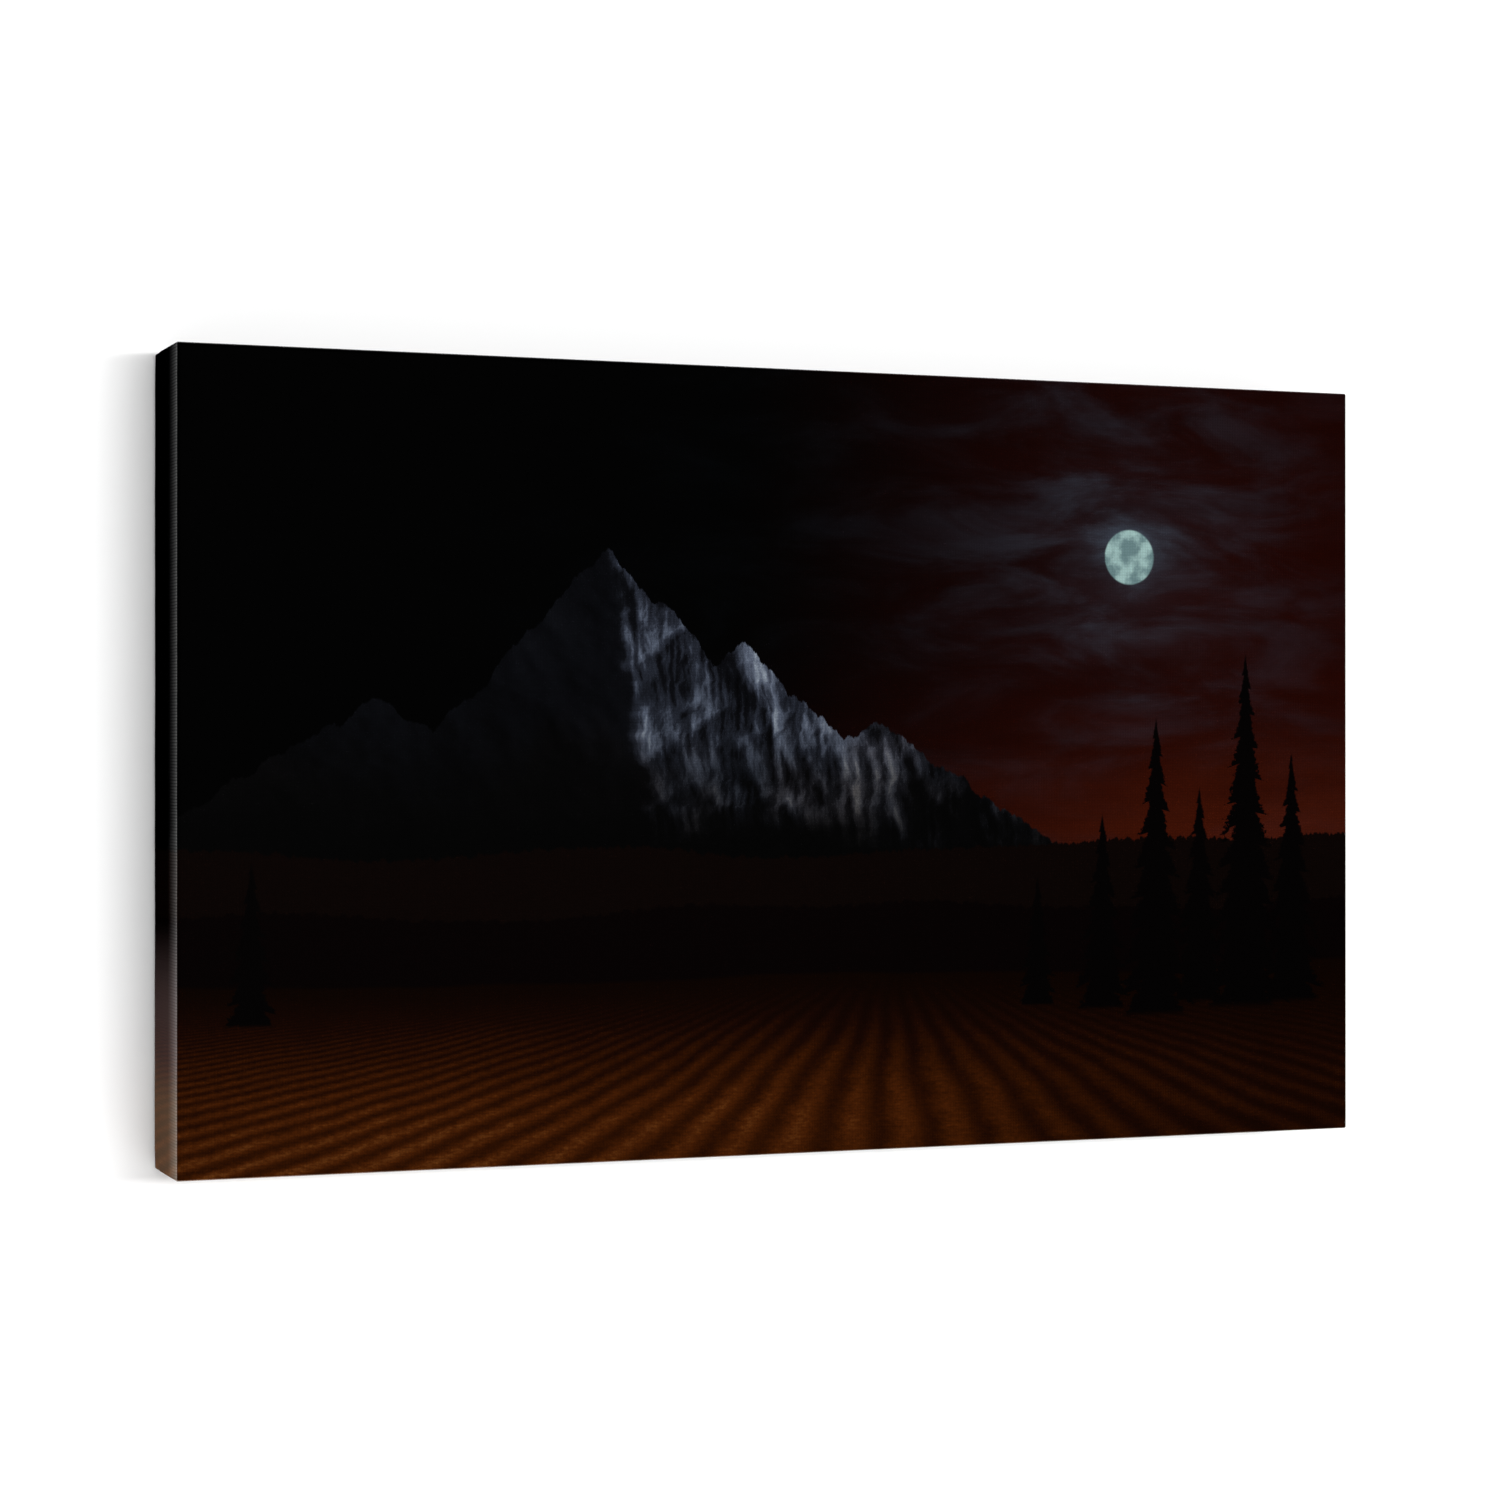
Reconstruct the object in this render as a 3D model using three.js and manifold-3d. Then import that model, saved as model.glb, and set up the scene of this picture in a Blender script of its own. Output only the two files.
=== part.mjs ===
// A stretched canvas print: printed cloth wrapped round a deep frame of mitred stretcher bars, stapled
// to their backs, with corner keys, a sawtooth hanger and two wall bumpers.
// Millimetres, +Z up. The picture faces -Y and the wall is the plane Y = 0. The origin is the seat of
// the wall nail: the top of the hanger's middle notch, at the wall.

import * as THREE from "three";
import { mergeVertices } from "three/addons/utils/BufferGeometryUtils.js";
import Module from "manifold-3d";

const wasm = await Module();
wasm.setup();

// The whole picture
const FACE_WIDTH = 450;
const FACE_HEIGHT = 281;
const WRAP_DEPTH = 38; // front of the cloth to the back of its folded margin
const WALL_GAP = 3; // the hanger and the bumpers hold the frame this far off the wall
const HANGER_DROP = 20; // top edge of the picture down to the nail's seat
const CLEARANCE = 0.3; // left between neighbouring pieces

// Cloth
const CLOTH = 0.5;
const MARGIN = 24; // width of the margin that is folded over the back
const CORNER_RADIUS = 0.8;
const ARC_STEPS = 4;

// Stretcher bars
const BAR_WIDTH = 32;
const BAR_INSET = CLOTH + CLEARANCE; // outside of the cloth to the outside of a bar
const BAR_DEPTH = WRAP_DEPTH - 2 * BAR_INSET;
const BEAD_RADIUS = 1.5; // rounded lip that the cloth is pulled over
const BEAD_WIDTH = 4;
const FRONT_FALL = 5; // the front slopes away from the cloth towards the window
const ARRIS = 1; // broken edges of the bars
const MITRE_GAP = 0.2;

// Corner keys: thin wedges that spread the mitres
const KEY_LENGTH = 38;
const KEY_THICKNESS = 3;
const KEY_TIP = 6;
const KEY_TAIL = 16;
const KEY_REACH = 12; // how far a tip goes into the slot of the next bar
const LEVEL_KEY_DEPTH = 11; // behind the frame's back: keys along the top and bottom bars
const UPRIGHT_KEY_DEPTH = 19; // and keys along the side bars

// Staples
const STAPLE_CROWN = 11.4;
const STAPLE_LEG = 8;
const WIRE_WIDTH = 1.2;
const WIRE_THICKNESS = 0.7;
const STAPLE_LINE = 15; // outer edge to the row of staples
const STAPLE_PITCH = 45; // about this far apart, evenly spaced
const STAPLE_END = 34; // corner to the first staple of a side
const CORNER_STAPLE_LINE = 13; // the first ones of the long sides hold the folded corners,
const CORNER_STAPLE_TURN = 0.5; // and are turned by this many radians

// Sawtooth hanger and its nails
const STRIP_LENGTH = 48;
const STRIP_THICKNESS = 0.9;
const STRIP_ABOVE_SEAT = 7.8;
const TAB_LENGTH = 9;
const JOGGLE_LENGTH = 2.5;
const TOOTH_PITCH = 3;
const TOOTH_DEPTH = 2.2;
const TEETH_EACH_WAY = 4;
const NAIL_RADIUS = 0.7;
const NAIL_LENGTH = 12;
const NAIL_HEAD_RADIUS = 1.8;
const NAIL_HEAD_RISE = 0.8;
const NAIL_SIDES = 16;

// Wall bumpers
const BUMPER_RADIUS = 6;
const BUMPER_ROUNDING = 1;
const BUMPER_OFFSET = 17; // in from the two edges of a lower corner
const BUMPER_SIDES = 32;

// Planes that the pieces are set out from
const TOP_EDGE = HANGER_DROP;
const MIDDLE = TOP_EDGE - FACE_HEIGHT / 2;
const CLOTH_BACK = -WALL_GAP;
const CLOTH_FRONT = CLOTH_BACK - WRAP_DEPTH;
const BAR_BACK = CLOTH_BACK - BAR_INSET;
const BAR_FRONT = BAR_BACK - BAR_DEPTH;
const BAR_INNER_EDGE = BAR_INSET + BAR_WIDTH; // in from the outside of the cloth
const ON_CLOTH = CLOTH_BACK + CLEARANCE; // where a piece lies on the folded margin

const quarterTurn = Math.PI / 2;

const finishes = {
  cloth: new THREE.MeshStandardMaterial({ color: 0x170e0c, roughness: 0.8, metalness: 0 }),
  pine: new THREE.MeshStandardMaterial({ color: 0xcfae7c, roughness: 0.7, metalness: 0 }),
  keyWood: new THREE.MeshStandardMaterial({ color: 0xd9c08f, roughness: 0.65, metalness: 0 }),
  zinc: new THREE.MeshStandardMaterial({ color: 0xb4b3ab, roughness: 0.35, metalness: 1 }),
  brass: new THREE.MeshStandardMaterial({ color: 0xc2a25c, roughness: 0.3, metalness: 1 }),
  staple: new THREE.MeshStandardMaterial({ color: 0xa9abad, roughness: 0.3, metalness: 1 }),
  rubber: new THREE.MeshStandardMaterial({ color: 0x2a2a2b, roughness: 0.85, metalness: 0 }),
};

// A closed geometry as a solid that can be joined and cut.
function solidOf(geometry) {
  const bare = geometry.clone();
  bare.deleteAttribute("normal");
  bare.deleteAttribute("uv");
  const merged = mergeVertices(bare, 1e-4);
  return new wasm.Manifold(
    new wasm.Mesh({
      numProp: 3,
      vertProperties: new Float32Array(merged.attributes.position.array),
      triVerts: new Uint32Array(merged.index.array),
    }),
  );
}

// The faceted geometry of a solid.
function geometryOf(solid) {
  const mesh = solid.getMesh();
  const geometry = new THREE.BufferGeometry();
  geometry.setAttribute("position", new THREE.BufferAttribute(mesh.vertProperties, 3));
  geometry.setIndex(new THREE.BufferAttribute(mesh.triVerts, 1));
  geometry.computeVertexNormals();
  return geometry;
}

// One geometry with each of the tools cut out of it.
function cut(geometry, tools) {
  let solid = solidOf(geometry);
  for (const tool of tools) {
    solid = solid.subtract(solidOf(tool));
  }
  return geometryOf(solid);
}

// A box between two corners.
function boxBetween([x0, y0, z0], [x1, y1, z1]) {
  const box = new THREE.BoxGeometry(x1 - x0, y1 - y0, z1 - z0);
  return box.translate((x0 + x1) / 2, (y0 + y1) / 2, (z0 + z1) / 2);
}

// A cylinder whose axis runs along Y.
function rodAlongY(radius, y0, y1, sides) {
  const rod = new THREE.CylinderGeometry(radius, radius, y1 - y0, sides);
  return rod.translate(0, (y0 + y1) / 2, 0);
}

// A closed body through a row of rings with equal counts of points. Each ring is convex, and runs
// clockwise when it is seen from the ring after it.
function loft(rings) {
  const count = rings[0].length;
  const positions = rings.flat().flatMap((point) => point.toArray());
  const faces = [];
  for (let ring = 0; ring + 1 < rings.length; ring += 1) {
    for (let i = 0; i < count; i += 1) {
      const next = (i + 1) % count;
      const here = ring * count;
      const there = here + count;
      faces.push(here + i, there + i, there + next, here + i, there + next, here + next);
    }
  }
  const last = (rings.length - 1) * count;
  for (let i = 1; i + 1 < count; i += 1) {
    faces.push(0, i, i + 1, last, last + i + 1, last + i);
  }
  const geometry = new THREE.BufferGeometry();
  geometry.setAttribute("position", new THREE.Float32BufferAttribute(positions, 3));
  geometry.setIndex(faces);
  geometry.computeVertexNormals();
  return geometry;
}

// A rectangle with rounded corners in a plane of constant Y, centred on the picture.
function roundedRing(halfWidth, halfHeight, radius, y) {
  const ring = [];
  for (let quarter = 0; quarter < 4; quarter += 1) {
    const start = quarter * quarterTurn;
    const right = quarter === 0 || quarter === 3 ? 1 : -1;
    const up = quarter < 2 ? 1 : -1;
    for (let step = 0; step <= ARC_STEPS; step += 1) {
      const angle = start + (step / ARC_STEPS) * quarterTurn;
      const x = right * (halfWidth - radius) + radius * Math.cos(angle);
      const z = MIDDLE + up * (halfHeight - radius) + radius * Math.sin(angle);
      ring.push(new THREE.Vector3(x, y, z));
    }
  }
  return ring;
}

// The block that one face of the cloth goes round: inset from the outside of the cloth, with its
// front and back edges rounded.
function wrappedBlock(inset, frontRadius, backRadius, cornerRadius) {
  const front = CLOTH_FRONT + inset;
  const back = CLOTH_BACK - inset;
  const rings = [];
  const addRing = (pulledIn, y) => {
    const halfWidth = FACE_WIDTH / 2 - inset - pulledIn;
    const halfHeight = FACE_HEIGHT / 2 - inset - pulledIn;
    rings.push(roundedRing(halfWidth, halfHeight, cornerRadius, y));
  };
  for (let step = 0; step <= ARC_STEPS; step += 1) {
    const angle = (step / ARC_STEPS) * quarterTurn;
    addRing(frontRadius * (1 - Math.sin(angle)), front + frontRadius * (1 - Math.cos(angle)));
  }
  for (let step = 0; step <= ARC_STEPS; step += 1) {
    const angle = (step / ARC_STEPS) * quarterTurn;
    addRing(backRadius * (1 - Math.cos(angle)), back - backRadius * (1 - Math.sin(angle)));
  }
  return loft(rings);
}

// The four sides of the frame. Each has a frame of its own: the origin at the middle of the outer edge
// of the cloth, X along the side and -Z into the picture.
function makeSide(name, length, keyDepth, slotDepth, turn, x, z) {
  const group = new THREE.Group();
  group.position.set(x, 0, z);
  group.rotation.y = turn;
  group.updateMatrix();
  return { name, length, keyDepth, slotDepth, group };
}

const sides = [
  makeSide("top", FACE_WIDTH, LEVEL_KEY_DEPTH, UPRIGHT_KEY_DEPTH, 0, 0, TOP_EDGE),
  makeSide("bottom", FACE_WIDTH, LEVEL_KEY_DEPTH, UPRIGHT_KEY_DEPTH, Math.PI, 0, TOP_EDGE - FACE_HEIGHT),
  makeSide("left", FACE_HEIGHT, UPRIGHT_KEY_DEPTH, LEVEL_KEY_DEPTH, -quarterTurn, -FACE_WIDTH / 2, MIDDLE),
  makeSide("right", FACE_HEIGHT, UPRIGHT_KEY_DEPTH, LEVEL_KEY_DEPTH, quarterTurn, FACE_WIDTH / 2, MIDDLE),
];

// The bar's section as [inwards, backwards] from its outer front corner.
function barSection() {
  const section = [];
  for (let step = 0; step <= ARC_STEPS; step += 1) {
    const angle = (step / ARC_STEPS) * quarterTurn;
    section.push([BEAD_RADIUS * (1 - Math.cos(angle)), BEAD_RADIUS * (1 - Math.sin(angle))]);
  }
  section.push([BEAD_WIDTH, 0]);
  section.push([BAR_WIDTH - ARRIS, FRONT_FALL]);
  section.push([BAR_WIDTH, FRONT_FALL + ARRIS]);
  section.push([BAR_WIDTH, BAR_DEPTH - ARRIS]);
  section.push([BAR_WIDTH - ARRIS, BAR_DEPTH]);
  section.push([ARRIS, BAR_DEPTH]);
  section.push([0, BAR_DEPTH - ARRIS]);
  return section;
}

// One bar of a side, mitred at both ends, before its slots and pilot holes.
function mitredBar(side) {
  const endRing = (direction) =>
    barSection().map(([inwards, backwards]) => {
      const x = direction * (side.length / 2 - BAR_INSET - inwards - MITRE_GAP);
      return new THREE.Vector3(x, BAR_FRONT + backwards, -BAR_INSET - inwards);
    });
  return loft([endRing(1), endRing(-1)]);
}

// The two slots of a bar, open at its mitres, that take the tips of its neighbours' keys.
function keySlots(side) {
  const middle = BAR_BACK - side.slotDepth;
  const halfSlot = KEY_THICKNESS / 2 + CLEARANCE;
  const corner = side.length / 2 - BAR_INNER_EDGE;
  const mouth = KEY_TIP + ((KEY_TAIL - KEY_TIP) * (KEY_REACH + 2)) / KEY_LENGTH;
  return [-1, 1].map((direction) => {
    const near = direction * (corner - mouth - 2 * CLEARANCE);
    const far = direction * (corner + BAR_WIDTH);
    return boxBetween(
      [Math.min(near, far), middle - halfSlot, -BAR_INNER_EDGE - ARRIS],
      [Math.max(near, far), middle + halfSlot, KEY_REACH + CLEARANCE - BAR_INNER_EDGE],
    );
  });
}

// A wedge that lies along a bar's inner edge, its thin end in the slot of the next bar.
function cornerKey(side, direction) {
  const tip = side.length / 2 - BAR_INNER_EDGE + KEY_REACH;
  const edge = -BAR_INNER_EDGE - CLEARANCE;
  const outline = new THREE.Shape();
  outline.moveTo(tip - KEY_LENGTH, edge);
  outline.lineTo(tip - KEY_LENGTH, edge - KEY_TAIL);
  outline.lineTo(tip, edge - KEY_TIP);
  outline.lineTo(tip, edge);
  const key = new THREE.ExtrudeGeometry(outline, { depth: KEY_THICKNESS, bevelEnabled: false });
  key.rotateX(quarterTurn).translate(0, KEY_THICKNESS / 2, 0);
  if (direction < 0) {
    key.rotateZ(Math.PI);
  }
  return key.translate(0, BAR_BACK - side.keyDepth, 0);
}

// Where the staples of a side go: along its outer edge, in from it, and how each is turned.
function staplePlaces(side) {
  const span = side.length - 2 * STAPLE_END;
  const count = Math.round(span / STAPLE_PITCH);
  const holdsCorners = side.length === FACE_WIDTH;
  const places = [];
  for (let i = 0; i <= count; i += 1) {
    const along = (i / count - 0.5) * span;
    const underHanger = side.name === "top" && Math.abs(along) < STRIP_LENGTH / 2;
    const atCorner = holdsCorners && (i === 0 || i === count);
    if (atCorner) {
      places.push({ along, inwards: CORNER_STAPLE_LINE, turn: Math.sign(along) * CORNER_STAPLE_TURN });
    } else if (!underHanger) {
      places.push({ along, inwards: STAPLE_LINE, turn: 0 });
    }
  }
  return places;
}

// Moves a piece made at the origin to a staple's place on a side.
function putAt(geometry, place) {
  return geometry.rotateY(place.turn).translate(place.along, 0, -place.inwards);
}

// A staple driven through the folded margin, its crown flat on the cloth.
function staple(place) {
  const crown = boxBetween(
    [-STAPLE_CROWN / 2, ON_CLOTH, -WIRE_WIDTH / 2],
    [STAPLE_CROWN / 2, ON_CLOTH + WIRE_THICKNESS, WIRE_WIDTH / 2],
  );
  let solid = solidOf(crown);
  for (const direction of [-1, 1]) {
    const outside = (direction * STAPLE_CROWN) / 2;
    const inside = outside - direction * WIRE_THICKNESS;
    const leg = boxBetween(
      [Math.min(inside, outside), ON_CLOTH - STAPLE_LEG, -WIRE_WIDTH / 2],
      [Math.max(inside, outside), ON_CLOTH + WIRE_THICKNESS / 2, WIRE_WIDTH / 2],
    );
    solid = solid.add(solidOf(leg));
  }
  return putAt(geometryOf(solid), place);
}

// The two holes that a staple's legs leave.
function stapleHoles(place) {
  return [-1, 1].map((direction) => {
    const outside = direction * (STAPLE_CROWN / 2 + CLEARANCE);
    const inside = direction * (STAPLE_CROWN / 2 - WIRE_THICKNESS - CLEARANCE);
    const hole = boxBetween(
      [Math.min(inside, outside), ON_CLOTH - STAPLE_LEG - CLEARANCE, -WIRE_WIDTH / 2 - CLEARANCE],
      [Math.max(inside, outside), 0, WIRE_WIDTH / 2 + CLEARANCE],
    );
    return putAt(hole, place);
  });
}

// The hanger's two nails stand at the middles of its end tabs.
const nailOffsets = [-1, 1].map((direction) => (direction * (STRIP_LENGTH - TAB_LENGTH)) / 2);
const nailHeight = STRIP_ABOVE_SEAT / 2;
const tabBack = ON_CLOTH + STRIP_THICKNESS;

// A hole for a hanger nail, in the strip, the cloth and the bar.
function nailHole(x) {
  const bottom = tabBack - NAIL_LENGTH;
  return rodAlongY(NAIL_RADIUS + CLEARANCE, bottom, 0, NAIL_SIDES).translate(x, 0, nailHeight);
}

// A pressed strip with flat end tabs, a middle that stands clear of the frame, and teeth below.
function hangerStrip() {
  const halfLength = STRIP_LENGTH / 2;
  const bend = halfLength - TAB_LENGTH;
  const raised = bend - JOGGLE_LENGTH;
  const outline = new THREE.Shape();
  outline.moveTo(-halfLength, ON_CLOTH);
  outline.lineTo(-bend, ON_CLOTH);
  outline.lineTo(-raised, -STRIP_THICKNESS);
  outline.lineTo(raised, -STRIP_THICKNESS);
  outline.lineTo(bend, ON_CLOTH);
  outline.lineTo(halfLength, ON_CLOTH);
  outline.lineTo(halfLength, tabBack);
  outline.lineTo(bend, tabBack);
  outline.lineTo(raised, 0);
  outline.lineTo(-raised, 0);
  outline.lineTo(-bend, tabBack);
  outline.lineTo(-halfLength, tabBack);
  const height = STRIP_ABOVE_SEAT + TOOTH_DEPTH;
  const strip = new THREE.ExtrudeGeometry(outline, { depth: height, bevelEnabled: false });
  strip.translate(0, 0, -TOOTH_DEPTH);

  const tools = nailOffsets.map(nailHole);
  for (let i = -TEETH_EACH_WAY; i <= TEETH_EACH_WAY; i += 1) {
    const notch = new THREE.Shape();
    notch.moveTo(-TOOTH_PITCH / 2, -TOOTH_DEPTH - CLEARANCE);
    notch.lineTo(TOOTH_PITCH / 2, -TOOTH_DEPTH - CLEARANCE);
    notch.lineTo(0, 0);
    const tool = new THREE.ExtrudeGeometry(notch, { depth: 2 * WALL_GAP, bevelEnabled: false });
    tools.push(tool.rotateX(quarterTurn).translate(i * TOOTH_PITCH, WALL_GAP, 0));
  }
  return cut(strip, tools);
}

// A small round-headed nail, its head on the hanger's tab.
function hangerNail() {
  const under = tabBack + CLEARANCE;
  const profile = [
    new THREE.Vector2(0, under - NAIL_LENGTH),
    new THREE.Vector2(NAIL_RADIUS, under - NAIL_LENGTH + 2 * NAIL_RADIUS),
    new THREE.Vector2(NAIL_RADIUS, under),
    new THREE.Vector2(NAIL_HEAD_RADIUS, under),
    new THREE.Vector2(NAIL_HEAD_RADIUS * 0.8, under + NAIL_HEAD_RISE * 0.7),
    new THREE.Vector2(0, under + NAIL_HEAD_RISE),
  ];
  return new THREE.LatheGeometry(profile, NAIL_SIDES);
}

// A soft round foot that keeps the bottom of the frame off the wall.
function bumper() {
  const profile = [new THREE.Vector2(0, ON_CLOTH), new THREE.Vector2(BUMPER_RADIUS, ON_CLOTH)];
  for (let step = 0; step <= ARC_STEPS; step += 1) {
    const angle = (step / ARC_STEPS) * quarterTurn;
    const radius = BUMPER_RADIUS - BUMPER_ROUNDING * (1 - Math.cos(angle));
    profile.push(new THREE.Vector2(radius, BUMPER_ROUNDING * (Math.sin(angle) - 1)));
  }
  profile.push(new THREE.Vector2(0, 0));
  return new THREE.LatheGeometry(profile, BUMPER_SIDES);
}

const picture = new THREE.Group();

function addPiece(parent, name, geometry, material) {
  const mesh = new THREE.Mesh(geometry, material);
  mesh.name = name;
  parent.add(mesh);
  return mesh;
}

const clothTools = nailOffsets.map(nailHole);
for (const side of sides) {
  picture.add(side.group);
  const places = staplePlaces(side);
  const barTools = [...keySlots(side), ...places.flatMap(stapleHoles)];
  if (side.name === "top") {
    barTools.push(...nailOffsets.map((x) => nailHole(x).translate(0, 0, -TOP_EDGE)));
  }
  addPiece(side.group, `stretcher_${side.name}`, cut(mitredBar(side), barTools), finishes.pine);
  addPiece(side.group, `key_${side.name}_a`, cornerKey(side, -1), finishes.keyWood);
  addPiece(side.group, `key_${side.name}_b`, cornerKey(side, 1), finishes.keyWood);
  places.forEach((place, index) => {
    const number = String(index + 1).padStart(2, "0");
    addPiece(side.group, `staple_${side.name}_${number}`, staple(place), finishes.staple);
    for (const hole of stapleHoles(place)) {
      clothTools.push(hole.applyMatrix4(side.group.matrix));
    }
  });
}

// The cloth: a shallow tray with its rim turned in over the backs of the bars.
const outside = wrappedBlock(0, BEAD_RADIUS + BAR_INSET, ARRIS + CLOTH, CORNER_RADIUS);
const inside = wrappedBlock(CLOTH, BEAD_RADIUS + CLEARANCE, ARRIS, CORNER_RADIUS - CLOTH);
const backWindow = boxBetween(
  [MARGIN - FACE_WIDTH / 2, CLOTH_BACK - 2 * CLOTH, MIDDLE - FACE_HEIGHT / 2 + MARGIN],
  [FACE_WIDTH / 2 - MARGIN, 0, MIDDLE + FACE_HEIGHT / 2 - MARGIN],
);
addPiece(picture, "canvas", cut(outside, [inside, backWindow, ...clothTools]), finishes.cloth);

addPiece(picture, "hanger_strip", hangerStrip(), finishes.zinc);
["left", "right"].forEach((name, index) => {
  const nail = addPiece(picture, `hanger_nail_${name}`, hangerNail(), finishes.brass);
  nail.position.set(nailOffsets[index], 0, nailHeight);
  const foot = addPiece(picture, `bumper_${name}`, bumper(), finishes.rubber);
  const footX = Math.sign(nailOffsets[index]) * (FACE_WIDTH / 2 - BUMPER_OFFSET);
  foot.position.set(footX, 0, TOP_EDGE - FACE_HEIGHT + BUMPER_OFFSET);
});

export default picture;
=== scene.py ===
"""Looks of a stretched canvas print that hangs on a wall.

Printed cloth is pulled over four mitred stretcher bars, folded at the corners and stapled behind.
Metres throughout, +Z up. The picture faces -Y and the wall is the plane Y = 0.
"""

import logging
import math
from collections.abc import Callable
from dataclasses import dataclass, field
from enum import Enum

import bmesh
import bpy
import numpy as np
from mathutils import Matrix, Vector


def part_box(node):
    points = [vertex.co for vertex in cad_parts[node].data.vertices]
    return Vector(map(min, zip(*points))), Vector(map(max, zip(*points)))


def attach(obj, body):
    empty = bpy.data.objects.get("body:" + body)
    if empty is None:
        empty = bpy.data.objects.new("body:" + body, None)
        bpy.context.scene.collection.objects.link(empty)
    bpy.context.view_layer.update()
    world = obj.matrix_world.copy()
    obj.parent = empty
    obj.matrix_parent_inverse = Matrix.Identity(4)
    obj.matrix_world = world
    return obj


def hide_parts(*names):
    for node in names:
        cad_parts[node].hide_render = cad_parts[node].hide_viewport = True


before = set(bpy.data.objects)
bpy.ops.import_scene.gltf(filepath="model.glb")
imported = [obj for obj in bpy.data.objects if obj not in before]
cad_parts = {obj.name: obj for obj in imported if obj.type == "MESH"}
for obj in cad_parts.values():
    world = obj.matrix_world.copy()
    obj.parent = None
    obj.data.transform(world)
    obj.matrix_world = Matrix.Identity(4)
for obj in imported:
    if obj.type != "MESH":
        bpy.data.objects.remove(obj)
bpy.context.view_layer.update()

MM = 0.001
BODY = "root"
FLAT_MAP = "FlatCut"
BAKE_MAP = "OFBake"
QUARTER = math.pi / 2
ORIGIN = (0.0, 0.0, 0.0)
BLACK = (0.0, 0.0, 0.0)
WHITE = (1.0, 1.0, 1.0)
SCREEN_GAMMA = 2.2
SAME_PLACE = 1e-9
CRAGS = {"Detail": 9.0, "Roughness": 0.55, "Offset": 1.0, "Gain": 2.0}
RIPPLES = ((1.0, 1.0, 1.0), (0.6, 2.3, 1.7), (0.4, 5.1, 2.9))

log = logging.getLogger("stretched_print")

Ink = tuple[float, float, float]


# ---------------------------------------------------------------- node building


def arithmetic(operation: str, swapped: bool = False) -> Callable[..., "Wire"]:
    """Make the method that does one kind of arithmetic on a wire.

    Args:
        operation: the kind of arithmetic.
        swapped: whether the other value comes first.

    Returns:
        The method, which adds one node.
    """

    def method(self: "Wire", *other: "Value") -> "Wire":
        """The result of the operation."""
        return self.tree.math(operation, *((*other, self) if swapped else (self, *other)))

    return method


class Wire:
    """A value that runs through a node tree, with the usual arithmetic."""

    __add__ = __radd__ = arithmetic("ADD")
    __mul__ = __rmul__ = arithmetic("MULTIPLY")
    __sub__ = arithmetic("SUBTRACT")
    __rsub__ = arithmetic("SUBTRACT", swapped=True)
    __truediv__ = arithmetic("DIVIDE")
    __pow__ = arithmetic("POWER")
    __abs__ = arithmetic("ABSOLUTE")

    def __init__(self, tree: "Tree", socket: bpy.types.NodeSocket) -> None:
        """Keep the tree and the output socket that the value comes from."""
        self.tree = tree
        self.socket = socket


Value = Wire | float


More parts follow.
